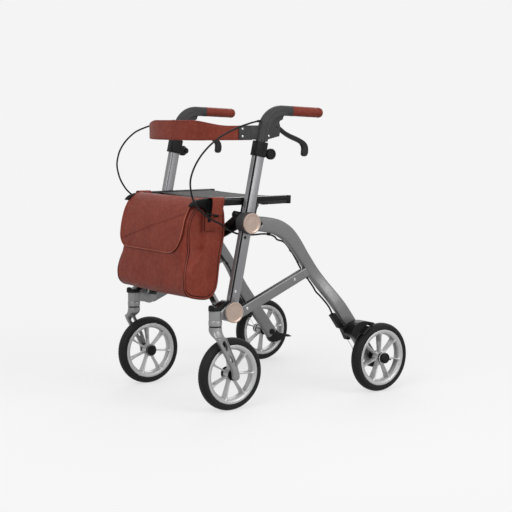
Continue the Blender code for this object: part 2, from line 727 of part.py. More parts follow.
def lower_hub():
    """Cast bracket: drum round the upright's foot, steering head and the scissor's lower fork."""
    drum = rod(LOWER_HUB_RADIUS, LOWER_HUB_X[0], LOWER_HUB_X[1], SIDE, (LOWER_HUB_Y, LOWER_HUB_Z), 24)
    steer = frame(AXIS_X, AXIS_Y, AXIS_Z, (FRONT_WHEEL_X, STEER_Y, 0))
    head = turned([(0, HEAD_BOTTOM_Z), (HEAD_RING_RADIUS, HEAD_BOTTOM_Z), (HEAD_RING_RADIUS, HEAD_RING_Z),
                   (HEAD_RADIUS, HEAD_RING_Z), (HEAD_RADIUS, HEAD_TOP_Z), (0, HEAD_TOP_Z)], steer, 24)
    web_outline = [(STEER_Y, HEAD_TOP_Z), (STEER_Y, 0.2560), (-0.2700, 0.2530), (-0.2500, 0.2480),
                   (-0.2300, 0.2900), (-0.2480, 0.2982), (-0.2600, 0.2935), (-0.2795, HEAD_TOP_Z)]
    web = prism(web_outline, 0.1985, 0.2270, SIDE)
    pivot = scissor_point(SCISSOR_X, SCISSOR_Z)
    room_half = EYE_REACH + SIDE_PLAY
    outer = room_half + LUG_THICKNESS
    fork_outline = [(LOWER_HUB_X[0] + 0.004, pivot[1] - BAR_EYE_RADIUS),
                    (LOWER_HUB_X[0] + 0.004, pivot[1] + BAR_EYE_RADIUS)]
    fork_outline += arc(BAR_EYE_RADIUS, pivot, 90, 270, 8)
    lugs = prism(fork_outline, -outer, outer, SCISSOR)
    room = box((0.1, -0.05, -room_half), (LOWER_HUB_X[0] - 0.003, 0.05, room_half), SCISSOR)
    cut(lugs, room)
    fuse(drum, web, head, lugs)
    return cut(drum, upright_cutter(), rod(STEM_RADIUS + BUSH_GAP, 0, HEAD_TOP_Z - 0.001, steer),
               rod(PIN_RADIUS + BUSH_GAP, -0.05, 0.05, SCISSOR, pivot))


def head_cover():
    """Moulded cover on the steering head and along the top of the bracket."""
    top = HEAD_TOP_Z + GAP
    outline = [(-0.3065, top), (-0.2803, top), (-0.2610, 0.2952), (-0.2490, 0.3006),
               (-0.2530, 0.3060), (-0.2620, 0.3065), (-0.2720, 0.3020), (-0.2860, 0.2950),
               (-0.3000, 0.2930), (-0.3065, 0.2900)]
    cover = prism(outline, 0.2005, 0.2290, SIDE)
    bevelled(cover, 0.0015)
    return cut(cover, prism(upright_section(GAP), -1, 1, UPRIGHT))


def disc_cap(y, z):
    """Dished round cap on the outer end of a joint."""
    base = UPPER_HUB_X[1] + GAP
    profile = [(0, base), (CAP_RADIUS - 0.001, base), (CAP_RADIUS, base + 0.0015),
               (CAP_RADIUS, base + CAP_THICKNESS - 0.002), (CAP_RADIUS - 0.002, base + CAP_THICKNESS),
               (CAP_RADIUS - 0.005, base + CAP_THICKNESS), (CAP_RADIUS - 0.007, base + CAP_THICKNESS - 0.001),
               (0, base + CAP_THICKNESS - 0.0005)]
    return turned(profile, x_axis_at(y, z), 24)


def kerb_pedal():
    """Plug at the foot of the rear leg, with the tongue that a foot presses at a kerb."""
    x, y, z, height = LEG_STATIONS[-1]
    before = LEG_STATIONS[-2]
    ahead = Vector((y - before[1], z - before[2])).normalized()
    up = Vector((-ahead.y, ahead.x)) * (height / 2)
    end = Vector((y, z)) + ahead * GAP
    upper = end + up
    lower = end - up
    outline = [tuple(lower), tuple(upper), (0.2760, 0.0920), (0.2920, 0.0850),
               (KERB_PEDAL_TIP[0], KERB_PEDAL_TIP[1] + 0.0025), (KERB_PEDAL_TIP[0], KERB_PEDAL_TIP[1] - 0.0015),
               (0.2960, 0.0765), (0.2780, 0.0670), (0.2440, 0.0640)]
    return prism(outline, x - LEG_WIDTH / 2, x + LEG_WIDTH / 2, SIDE)


def brake_housing():
    """Brake body on the leg: hood over the tyre, arm along the leg and the cable's stop."""
    centre = (REAR_WHEEL_Y, AXLE_Z)
    hood_outline = [arc(WHEEL_RADIUS + out, centre, angle, angle, 1)[0] for angle, out in BRAKE_HOOD]
    hood_outline += arc(WHEEL_RADIUS + 0.0035, centre, 103, 112, 1)
    hood_outline += arc(WHEEL_RADIUS + 0.0125, centre, 114, 146, 5)
    hood = prism(hood_outline, BRAKE_HOUSING_X[0], BRAKE_HOUSING_X[1], SIDE)
    bevelled(hood, 0.002)
    arm_outline = [(0.1180, 0.1960), (0.1430, 0.1650), (0.1640, 0.1830), (0.1660, 0.2060), (0.1520, 0.2080),
                   (0.1330, 0.1950)]
    arm = prism(arm_outline, LEG_STATIONS[-1][0] + LEG_WIDTH / 2 + GAP, BRAKE_HOUSING_X[0] + 0.004, SIDE)
    stop_x = (0.2310, 0.2490)
    stop_outline = [(0.0915, 0.2310), (0.1053, 0.2380), (0.1418, 0.1923), (0.1633, 0.1547), (0.1500, 0.1550),
                    (0.1323, 0.1875), (0.1209, 0.1916)]
    stop = prism(stop_outline, stop_x[0], stop_x[1], SIDE)
    tie_outline = [(0.1200, 0.1960), (0.1330, 0.1790), (0.1480, 0.1700), (0.1330, 0.1960)]
    tie = prism(tie_outline, stop_x[1] - 0.004, BRAKE_HOUSING_X[0] + 0.002, SIDE)
    fuse(hood, arm, stop, tie)
    pivot = (BRAKE_PIVOT_Y, BRAKE_PIVOT_Z)
    room_low = (BRAKE_PIVOT_Y - 0.0085, BRAKE_PIVOT_Z - 0.0265, BRAKE_SHOE_X[0] - SIDE_PLAY)
    shoe_room = box(room_low, (BRAKE_PIVOT_Y + 0.0480, BRAKE_PIVOT_Z + 0.0180, 0.32), SIDE)
    return cut(hood, shoe_room, loft(leg_rings(GAP)),
               rod(BRAKE_PIN_RADIUS + BUSH_GAP, 0.2, BRAKE_SHOE_X[1], SIDE, pivot))


def brake_shoe():
    """Brake arm with its pin and the pad above the tyre."""
    centre = (REAR_WHEEL_Y, AXLE_Z)
    pivot = (BRAKE_PIVOT_Y, BRAKE_PIVOT_Z)
    pad_low = WHEEL_RADIUS + SHOE_REST_GAP
    outline = arc(pad_low, centre, 116, 134, 3) + arc(0.006, pivot, 260, 60, 4)
    outline += arc(pad_low + 0.006, centre, 128, 116, 2)
    shoe = prism(outline, BRAKE_SHOE_X[0], BRAKE_SHOE_X[1], SIDE)
    return fuse(shoe, rod(BRAKE_PIN_RADIUS, BRAKE_HOUSING_X[0] + 0.003, BRAKE_SHOE_X[0] + 0.004, SIDE, pivot))


# Handles

def collar():
    """Clamp collar that closes the upright round the post, with two bolt ears at its back."""
    a = UPRIGHT_WIDTH / 2 + COLLAR_WALL
    b = UPRIGHT_DEPTH / 2 + COLLAR_WALL
    body = prism(rounded_box(a, b, 0.003, 1), along_lean(COLLAR_BOTTOM_Z), along_lean(COLLAR_TOP_Z), UPRIGHT)
    ear_outline = arc(CLAMP_EAR_RADIUS, (CLAMP_Y, CLAMP_Z), -110, 80, 8)
    ear_outline += [(-0.1330, 0.7080), (-0.1400, 0.6900)]
    ears = prism(ear_outline, CLAMP_EAR_X[0], CLAMP_EAR_X[1], SIDE)
    fuse(body, ears)
    return cut(body, prism(upright_section(GAP), -1, along_lean(UPRIGHT_TOP_Z) + GAP, UPRIGHT),
               prism(post_section(GAP), 0, 1, UPRIGHT),
               rod(CLAMP_BOLT_RADIUS + GAP, 0.1, 0.3, SIDE, (CLAMP_Y, CLAMP_Z)))


def height_knob():
    """Round clamp knob with its bolt."""
    face = CLAMP_EAR_X[1] + GAP
    back = CLAMP_EAR_X[0] - GAP
    profile = [(0, back - 0.003), (0.005, back - 0.003), (0.005, back), (CLAMP_BOLT_RADIUS, back),
               (CLAMP_BOLT_RADIUS, face), (0.008, face), (0.009, face + 0.003), (KNOB_RADIUS - 0.001, face + 0.003),
               (KNOB_RADIUS, face + 0.005), (KNOB_RADIUS, face + KNOB_LENGTH - 0.002),
               (KNOB_RADIUS - 0.002, face + KNOB_LENGTH), (0, face + KNOB_LENGTH)]
    return turned(profile, x_axis_at(CLAMP_Y, CLAMP_Z))


def handle_path():
    """Centre line of a handle as side-view points, and the direction it ends in."""
    foot = Vector((UPRIGHT_FOOT_Y, UPRIGHT_FOOT_Z))
    lean = Vector((LEAN_UP.y, LEAN_UP.z))
    start = foot + lean * along_lean(HANDLE_BASE_Z)
    bend = foot + lean * along_lean(HANDLE_BEND_Z)
    first = math.pi / 2 - LEAN
    last = -GRIP_DROOP
    points = [start]
    steps = 9
    for i in range(steps + 1):
        heading = first + (last - first) * i / steps
        points.append(bend + HANDLE_BEND_RADIUS * Vector((math.sin(first) - math.sin(heading),
                                                          math.cos(heading) - math.cos(first))))
    ahead = Vector((math.cos(last), math.sin(last)))
    points.append(points[-1] + ahead * ((GRIP_START_Y - points[-1].x) / ahead.x))
    return points, ahead


def grip_axes():
    """Axes of a grip, with the third along it from its front end."""
    points, ahead = handle_path()
    along = Vector((0, ahead.x, ahead.y))
    return frame(AXIS_X, along.cross(AXIS_X), along, (UPRIGHT_X, points[-1].x, points[-1].y))


def handle_body():
    """Moulded handle: bend, grip core, lever cheeks and the plate for the backrest strap."""
    points, ahead = handle_path()
    rings = []
    for i, point in enumerate(points):
        way = points[min(i + 1, len(points) - 1)] - points[max(i - 1, 0)]
        if i == 0:
            way = Vector((LEAN_UP.y, LEAN_UP.z))
        way.normalize()
        normal = Vector((way.y, -way.x))
        section = circle(1, steps=16)
        ring = []
        for a, b in section:
            a = math.copysign(abs(a) ** 0.85, a) * HANDLE_HALF_WIDTH
            b = math.copysign(abs(b) ** 0.85, b) * HANDLE_HALF_DEPTH
            ring.append(Vector((UPRIGHT_X + a, point.x + normal.x * b, point.y + normal.y * b)))
        rings.append(ring)
    body = loft(rings)
    core = rod(GRIP_CORE_RADIUS, -0.01, GRIP_CORE_LENGTH, grip_axes())
    cheeks_outline = [(-0.0660, 0.8050), (-0.0655, 0.7920), (-0.0790, 0.7800), (-0.0755, 0.7620),
                      (-0.0780, 0.7440), (-0.0940, 0.7415), (-0.1050, 0.7360), (-0.1200, 0.7345),
                      (-0.1200, 0.7700), (-0.1000, 0.8000)]
    half = LEVER_HOUSING_WIDTH / 2
    cheeks = prism(cheeks_outline, UPRIGHT_X - half, UPRIGHT_X + half, SIDE)
    plate = prism([(STRAP_PLATE_FRONT_Y, STRAP_PLATE_Z[0]), (-0.1300, STRAP_PLATE_Z[0]),
                   (-0.1300, STRAP_PLATE_Z[1]), (STRAP_PLATE_FRONT_Y, STRAP_PLATE_Z[1])],
                  STRAP_PLATE_X[0], STRAP_PLATE_X[1], SIDE)
    fuse(body, core, cheeks, plate)
    lever_half = LEVER_WIDTH / 2 + SIDE_PLAY
    room_outline = [(-0.0995, 0.7300), (-0.0500, 0.7300), (-0.0500, 0.7880), (-0.0780, 0.7885), (-0.0995, 0.7800)]
    room = prism(room_outline, UPRIGHT_X - lever_half, UPRIGHT_X + lever_half, SIDE)
    pocket = prism(post_section(GAP), 0, along_lean(POST_TOP_Z) + GAP, UPRIGHT)
    return cut(body, room, pocket,
               rod(LEVER_PIN_RADIUS + BUSH_GAP, 0.1, 0.3, SIDE, (LEVER_PIVOT_Y, LEVER_PIVOT_Z)))


def grip():
    """Leather-covered grip, a sleeve with a closed rounded end."""
    bore = GRIP_CORE_RADIUS + GAP
    floor = GRIP_CORE_LENGTH + GAP
    length = GRIP_LENGTH
    profile = [(bore, GAP), (GRIP_RADIUS - 0.0005, GAP), (GRIP_RADIUS, 0.002), (GRIP_RADIUS, length - 0.008),
               (GRIP_RADIUS - 0.0015, length - 0.003), (GRIP_RADIUS - 0.005, length), (0, length),
               (0, floor), (bore, floor)]
    return turned(profile, grip_axes())


def brake_lever():
    """Hooked brake lever with its root disc and pin."""
    pivot = (LEVER_PIVOT_Y, LEVER_PIVOT_Z)
    outline = arc(0.0095, pivot, 60, 250, 8)
    outline += [(-0.0800, 0.7555), (-0.0660, 0.7505), (-0.0480, 0.7400), (-0.0300, 0.7325), (-0.0060, 0.7235),
                (0.0030, 0.7170), (0.0068, 0.7090), (0.0062, 0.6980), (0.0052, 0.6910), (0.0085, 0.6868),
                (0.0150, 0.6850), (0.0225, 0.6868), (0.0265, 0.6905), (0.0282, 0.7000), (0.0278, 0.7090),
                (0.0245, 0.7180), (0.0175, 0.7258), (-0.0090, 0.7395), (-0.0340, 0.7480), (-0.0560, 0.7575),
                (-0.0720, 0.7700)]
    half = LEVER_WIDTH / 2
    lever = prism(outline, UPRIGHT_X - half, UPRIGHT_X + half, SIDE)
    pin = rod(LEVER_PIN_RADIUS, UPRIGHT_X - LEVER_HOUSING_WIDTH / 2 + 0.001,
              UPRIGHT_X + LEVER_HOUSING_WIDTH / 2 - 0.001, SIDE, pivot)
    return fuse(lever, pin)


def backrest_strap():
    """Bowed band between the plates of the two handles, wider in its middle."""
    x_end = STRAP_PLATE_X[0] - GAP - STRAP_THICKNESS / 2
    front = STRAP_PLATE_FRONT_Y
    path = [(x_end, front + STRAP_LAP)]
    steps = 22
    for i in range(steps + 1):
        turn = math.pi * i / steps
        path.append((x_end * math.cos(turn), front - STRAP_BOW * math.sin(turn)))
    path.append((-x_end, front + STRAP_LAP))
    points = [Vector(p) for p in path]
    lengths = [0.0]
    for a, b in zip(points, points[1:]):
        lengths.append(lengths[-1] + (b - a).length)
    rings = []
    for i, point in enumerate(points):
        way = (points[min(i + 1, len(points) - 1)] - points[max(i - 1, 0)]).normalized()
        normal = Vector((-way.y, way.x)) * (STRAP_THICKNESS / 2)
        share = min(lengths[i], lengths[-1] - lengths[i]) / lengths[-1]
        swell = min(1.0, max(0.0, (share - 0.12) / 0.22))
        swell = swell * swell * (3 - 2 * swell)
        low = STRAP_END_Z[0] + (STRAP_MIDDLE_Z[0] - STRAP_END_Z[0]) * swell
        high = STRAP_END_Z[1] + (STRAP_MIDDLE_Z[1] - STRAP_END_Z[1]) * swell
        inner = point - normal
        outer = point + normal
        rings.append([Vector((inner.x, inner.y, low)), Vector((outer.x, outer.y, low)),
                      Vector((outer.x, outer.y, high)), Vector((inner.x, inner.y, high))])
    return loft(rings)


# Scissor fold

FOLD_BASE = scissor_point(SCISSOR_X, SCISSOR_Z)
SEAT_PIVOT = scissor_point(SEAT_PIVOT_X, SEAT_PIVOT_Z)
REST_ANGLE = math.atan2(SEAT_PIVOT[1], SCISSOR_X + SEAT_PIVOT_X)
LOWER_LENGTH = SCISSOR_X / math.cos(REST_ANGLE)
FOLDED_ANGLE = math.acos(FOLDED_HALF_X / LOWER_LENGTH)
FOLD_SHIFT = SCISSOR_X - FOLDED_HALF_X
EYE_REACH = BAR_THICKNESS + 2 * SIDE_PLAY
LINK_FIRST = EYE_REACH + GAP


def link_reach():
    """Distance up the far bar at which the link's end is as far from its pivot when open and folded."""
    pivot = Vector(scissor_point(LINK_PIVOT_X, LINK_PIVOT_Z))
    offsets = []
    for shift, angle in ((0.0, REST_ANGLE), (FOLD_SHIFT, FOLDED_ANGLE)):
        arm = pivot - Vector((shift, 0)) - Vector((-SCISSOR_X + shift, 0))
        offsets.append((arm, Vector((math.cos(angle), math.sin(angle)))))
    (open_arm, open_way), (shut_arm, shut_way) = offsets
    return (open_arm.length_squared - shut_arm.length_squared) / (
        2 * (open_arm.dot(open_way) - shut_arm.dot(shut_way)))


def link_end():
    """The link's far end, on the bar that rises from the other side."""
    reach = link_reach()
    return (-SCISSOR_X + reach * math.cos(REST_ANGLE), reach * math.sin(REST_ANGLE))


def cross_bar(side, layer):
    """Scissor bar from one lower joint to the opposite seat rail; layer -1 is the front one."""
    low = (side * SCISSOR_X, 0.0)
    high = (-side * SEAT_PIVOT_X, SEAT_PIVOT[1])
    middle = layer * (BAR_THICKNESS + 2 * SIDE_PLAY) / 2
    half = BAR_THICKNESS / 2
    bar = prism(slot_outline(low, high, BAR_HEIGHT / 2 - 0.0015, 6), middle - half, middle + half, SCISSOR)
    eyes = [rod(BAR_EYE_RADIUS, -EYE_REACH, EYE_REACH, SCISSOR, point, 16) for point in (low, high)]
    end = link_end()
    stud = rod(PIN_RADIUS, middle, EYE_REACH, SCISSOR, (-side * end[0], end[1]))
    lug = EYE_REACH + SIDE_PLAY + LUG_THICKNESS
    pins = [rod(PIN_RADIUS, -lug, lug, SCISSOR, low), rod(PIN_RADIUS, 0, lug, SCISSOR, high)]
    fuse(bar, *eyes, stud, *pins)
    centre = (0.0, LOWER_LENGTH * math.sin(REST_ANGLE))
    if layer < 0:
        return fuse(bar, rod(PIN_RADIUS, middle, EYE_REACH + 0.003, SCISSOR, centre))
    return cut(bar, rod(PIN_RADIUS + BUSH_GAP, -0.05, 0.05, SCISSOR, centre))


def fold_link():
    """Link between the upper joint and the bar that rises from the other side."""
    pivot = scissor_point(LINK_PIVOT_X, LINK_PIVOT_Z)
    link = prism(slot_outline(pivot, link_end(), LINK_HEIGHT / 2), LINK_FIRST, LINK_FIRST + LINK_THICKNESS, SCISSOR)
    pin = rod(PIN_RADIUS, LINK_FIRST + 0.001, LINK_FIRST + LINK_THICKNESS + SIDE_PLAY + LUG_THICKNESS, SCISSOR,
              pivot)
    fuse(link, pin)
    return cut(link, rod(PIN_RADIUS + BUSH_GAP, 0, 0.1, SCISSOR, link_end()))


def seat_rail():
    """Seat rail with its end cap and the lug that hangs it on the scissor."""
    half = SEAT_RAIL_WIDTH / 2
    high = (SEAT_RAIL_Z[1] - SEAT_RAIL_Z[0]) / 2
    along_y = frame(AXIS_X, AXIS_Z, AXIS_Y, (SEAT_RAIL_X, 0, sum(SEAT_RAIL_Z) / 2))
    rail = prism(rounded_box(half, high, SEAT_RAIL_CORNER, 2), SEAT_SLEEVE_END_Y, SEAT_RAIL_Y[1], along_y)
    # The bag's loop hangs on a slimmer front end, so that the rail's top stays free behind it
    slim = rounded_box(half - SEAT_SLEEVE_STEP, high - SEAT_SLEEVE_STEP, SEAT_RAIL_CORNER, 2)
    front = prism(slim, SEAT_RAIL_Y[0], SEAT_SLEEVE_END_Y + OVERLAP, along_y)
    cap_top = SEAT_RAIL_Z[1] - SEAT_CAP_STEP
    cap = prism([(SEAT_RAIL_Y[1] - SEAT_CAP_LENGTH, SEAT_CAP_BOTTOM_Z), (SEAT_RAIL_Y[1], SEAT_CAP_BOTTOM_Z),
                 (SEAT_RAIL_Y[1] + 2 * SEAT_CAP_STEP, cap_top), (SEAT_RAIL_Y[1] - SEAT_CAP_LENGTH, cap_top)],
                SEAT_RAIL_X - half - SEAT_CAP_STEP, SEAT_RAIL_X + half + SEAT_CAP_STEP, SIDE)
    first = EYE_REACH + SIDE_PLAY
    top = along_lean(SEAT_RAIL_Z[0] + 0.008, SCISSOR_Z)
    outline = arc(BAR_EYE_RADIUS, SEAT_PIVOT, 180, 360, 8)
    outline += [(SEAT_PIVOT[0] + BAR_EYE_RADIUS, top), (SEAT_PIVOT[0] - BAR_EYE_RADIUS, top)]
    fuse(rail, front, cap, prism(outline, first, first + LUG_THICKNESS, SCISSOR))
    return cut(rail, rod(PIN_RADIUS + BUSH_GAP, -0.05, 0.05, SCISSOR, SEAT_PIVOT))


def seat_fabric():
    """Seat sheet between the rails, sagging a little."""
    half = SEAT_RAIL_X - SEAT_RAIL_WIDTH / 2 - GAP
    rings = []
    steps = 8
    for i in range(steps + 1):
        x = -half + 2 * half * i / steps
        top = SEAT_FABRIC_TOP_Z - SEAT_FABRIC_SAG * (1 - (x / half) ** 2)
        low = top - SEAT_FABRIC_THICKNESS
        rings.append([Vector((x, SEAT_FABRIC_Y[0], low)), Vector((x, SEAT_FABRIC_Y[1], low)),
                      Vector((x, SEAT_FABRIC_Y[1], top)), Vector((x, SEAT_FABRIC_Y[0], top))])
    return loft(rings)


# Bag

BAG_TOP_REAR = (-0.2560, 0.5640)
FLAP_PATH = ((-0.2620, 0.5655), (-0.2820, 0.5715), (-0.3010, 0.5725), (-0.3250, 0.5590), (-0.3415, 0.5340),
             (-0.3520, 0.5020), (-0.3580, 0.4660), (-0.3590, 0.4280))
BAG_REST = ((-0.3605, 0.4040), (-0.3640, 0.3580), (-0.3615, 0.3320), (-0.3490, 0.3170), (-0.3300, 0.3100),
            (-0.2980, 0.3050), (-0.2790, 0.3090), (-0.2660, 0.3220), (-0.2570, 0.3430), (-0.2480, 0.4020),
            (-0.2370, 0.4560), (-0.2320, 0.4900), (-0.2340, 0.5400))
FLAP_HINGE = (FLAP_PATH[0][0], FLAP_PATH[0][1] + FLAP_LIFT + FLAP_THICKNESS / 2)
FLAP_LEFT_CORNER = (0.070, 0.070)
FLAP_RIGHT_CORNER = (0.030, 0.035)


def ramp(value, start, end):
    """Share of the way from start to end, from 0 to 1."""
    return min(1.0, max(0.0, (value - start) / (end - start)))


def bag_body():
    """Saddle bag: a closed body that narrows to its upper front, with loops round the rails."""
    profile = [BAG_TOP_REAR]
    profile += [(p.y, p.z) for p in smooth_curve([Vector((0, y, z)) for y, z in FLAP_PATH], BAG_STEP)]
    profile += BAG_REST
    centre = Vector((sum(p[0] for p in profile), sum(p[1] for p in profile))) / len(profile)
    rings = []
    ends = ((0.0, 1.0), (BAG_EDGE * 0.35, 0.45), (BAG_EDGE, 0.0))
    sections = [(-1, inset, tuck) for inset, tuck in ends] + [(1, inset, tuck) for inset, tuck in reversed(ends)]
    for side, inset, tuck in sections:
        ring = []
        for y, z in profile:
            point = Vector((y, z))
            share = ramp(z, *BAG_TUCK_Z) * ramp(y, *BAG_TUCK_Y)
            inward = (centre - point).normalized() * (BAG_FRONT_TUCK * share * tuck)
            x = side * (BAG_HALF_WIDTH - inset - BAG_FRONT_INSET * share)
            ring.append(Vector((x, point.x + inward.x, point.y + inward.y)))
        rings.append(ring)
    body = loft(rings)
    room = GAP - SEAT_SLEEVE_STEP
    half = SEAT_RAIL_WIDTH / 2 + room
    loops = []
    for side in (1, -1):
        inner = side * (BAG_HALF_WIDTH - BAG_LOOP_REACH)
        outer = side * (SEAT_RAIL_X + half + BAG_LOOP_WALL)
        top = SEAT_RAIL_Z[1] + room + BAG_LOOP_WALL
        outline = [(BAG_LOOP_TOP_Y[0], top), (BAG_LOOP_TOP_Y[1], top), *BAG_LOOP_BOTTOM]
        loop = prism(outline, min(inner, outer), max(inner, outer), SIDE)
        room_low = (side * SEAT_RAIL_X - half, BAG_LOOP_TOP_Y[0] - 0.02, SEAT_RAIL_Z[0] - room)
        room_high = (side * SEAT_RAIL_X + half, BAG_LOOP_TOP_Y[1] + 0.02, SEAT_RAIL_Z[1] + room)
        cut(loop, box(room_low, room_high))
        loops.append(loop)
    fuse(body, *loops)
    return body


def flap_reach(x, length):
    """How far down the flap runs at x, with its two unlike round corners."""
    for edge, (across, down) in ((FLAP_HALF_WIDTH - x, FLAP_LEFT_CORNER), (FLAP_HALF_WIDTH + x, FLAP_RIGHT_CORNER)):
        if edge < across:
            share = 1 - edge / across
            return length - down * (1 - math.sqrt(max(0.0, 1 - share * share)))
    return length


def bag_flap():
    """Flap over the bag's top and front, one sheet with a large round corner on the left."""
    path = smooth_curve([Vector((0, y, z)) for y, z in FLAP_PATH], 0.004)
    lengths = [0.0]
    for a, b in zip(path, path[1:]):
        lengths.append(lengths[-1] + (b - a).length)

    def at(distance, lift):
        """Point of the path at a distance from the hinge, lifted off the bag."""
        i = 0
        while i < len(path) - 2 and lengths[i + 1] < distance:
            i += 1
        way = (path[i + 1] - path[i]).normalized()
        point = path[i] + way * (distance - lengths[i])
        return point + Vector((0, -way.z, way.y)) * -lift

    rings = []
    rows = 18
    columns = 12
    for j in range(columns + 1):
        x = FLAP_HALF_WIDTH * math.sin(math.pi / 2 * (2 * j / columns - 1))
        reach = flap_reach(x, lengths[-1])
        down = [reach * i / rows for i in range(rows + 1)]
        outer = [at(d, FLAP_LIFT + FLAP_THICKNESS) for d in down]
        inner = [at(d, FLAP_LIFT) for d in reversed(down)]
        rings.append([Vector((x, p.y, p.z)) for p in outer + inner])
    return loft(rings)


# Brake cables, as routes chosen by hand

CABLE_LOOP_LEFT = (
    (0.2140, -0.1400, 0.7840), (0.2220, -0.1560, 0.7830), (0.2290, -0.1850, 0.7780), (0.2310, -0.2250, 0.7670),
    (0.2310, -0.2680, 0.7500), (0.2300, -0.3060, 0.7280), (0.2290, -0.3400, 0.6980), (0.2280, -0.3640, 0.6640),
    (0.2270, -0.3760, 0.6280), (0.2260, -0.3705, 0.5900), (0.2240, -0.3560, 0.5640), (0.2200, -0.3290, 0.5400),
    (0.2130, -0.2950, 0.5220), (0.2040, -0.2620, 0.5080), (0.1950, -0.2330, 0.4930), (0.1900, -0.2060, 0.4810),
    (0.1915, -0.1780, 0.4750), (0.1980, -0.1500, 0.4740),
)
CABLE_LOOP_RIGHT = (
    (-0.2140, -0.1400, 0.7840), (-0.2165, -0.1850, 0.7775), (-0.2170, -0.2261, 0.7684), (-0.2170, -0.2671, 0.7543),
    (-0.2170, -0.2904, 0.7396), (-0.2170, -0.3115, 0.7201), (-0.2170, -0.3273, 0.6971), (-0.2170, -0.3350, 0.6743),
    (-0.2170, -0.3373, 0.6578), (-0.2170, -0.3355, 0.6415), (-0.2170, -0.3285, 0.6180), (-0.2170, -0.3174, 0.5978),
    (-0.2165, -0.3042, 0.5809), (-0.2145, -0.2871, 0.5653), (-0.2080, -0.2600, 0.5360), (-0.2000, -0.2390, 0.5110),
    (-0.1930, -0.2190, 0.4920), (-0.1900, -0.2020, 0.4820), (-0.1915, -0.1780, 0.4760), (-0.1980, -0.1500, 0.4750),
)
CABLE_LEG = (
    (0.2060, -0.1280, 0.4755), (0.2105, -0.1080, 0.4738), (0.2090, -0.0890, 0.4670), (0.2030, -0.0780, 0.4615),
    (0.1972, -0.0670, 0.4550), (0.1965, -0.0436, 0.4470), (0.1965, -0.0229, 0.4261), (0.1965, -0.0025, 0.3990),
    (0.1965, 0.0144, 0.3718), (0.1965, 0.0317, 0.3507), (0.1970, 0.0475, 0.3302), (0.2020, 0.0585, 0.3125),
    (0.2090, 0.0630, 0.2990), (0.2170, 0.0705, 0.2880), (0.2280, 0.0820, 0.2700), (0.2370, 0.0890, 0.2550),
    (0.2395, 0.0925, 0.2465), (0.2400, 0.0980, 0.2353),
)


def brake_cable(name, loop, side, parent):
    """Cable from a lever, in a free loop and then along the leg, to the brake's stop."""
    route = list(loop) + [(side * x, y, z) for x, y, z in CABLE_LEG]
    points = smooth_curve(route, CABLE_STEP)
    curve = bpy.data.curves.new(name, "CURVE")
    curve.dimensions = "3D"
    curve.bevel_depth = CABLE_RADIUS
    curve.bevel_resolution = 2
    curve.use_fill_caps = True
    spline = curve.splines.new("POLY")
    spline.points.add(len(points) - 1)
    for target, point in zip(spline.points, points):
        target.co = (*point, 1)
    obj = bpy.data.objects.new(name, curve)
    bpy.context.scene.collection.objects.link(obj)
    curve.materials.append(material("black"))
    obj.parent = parent
    obj.location = -anchor(parent)


# Assembly

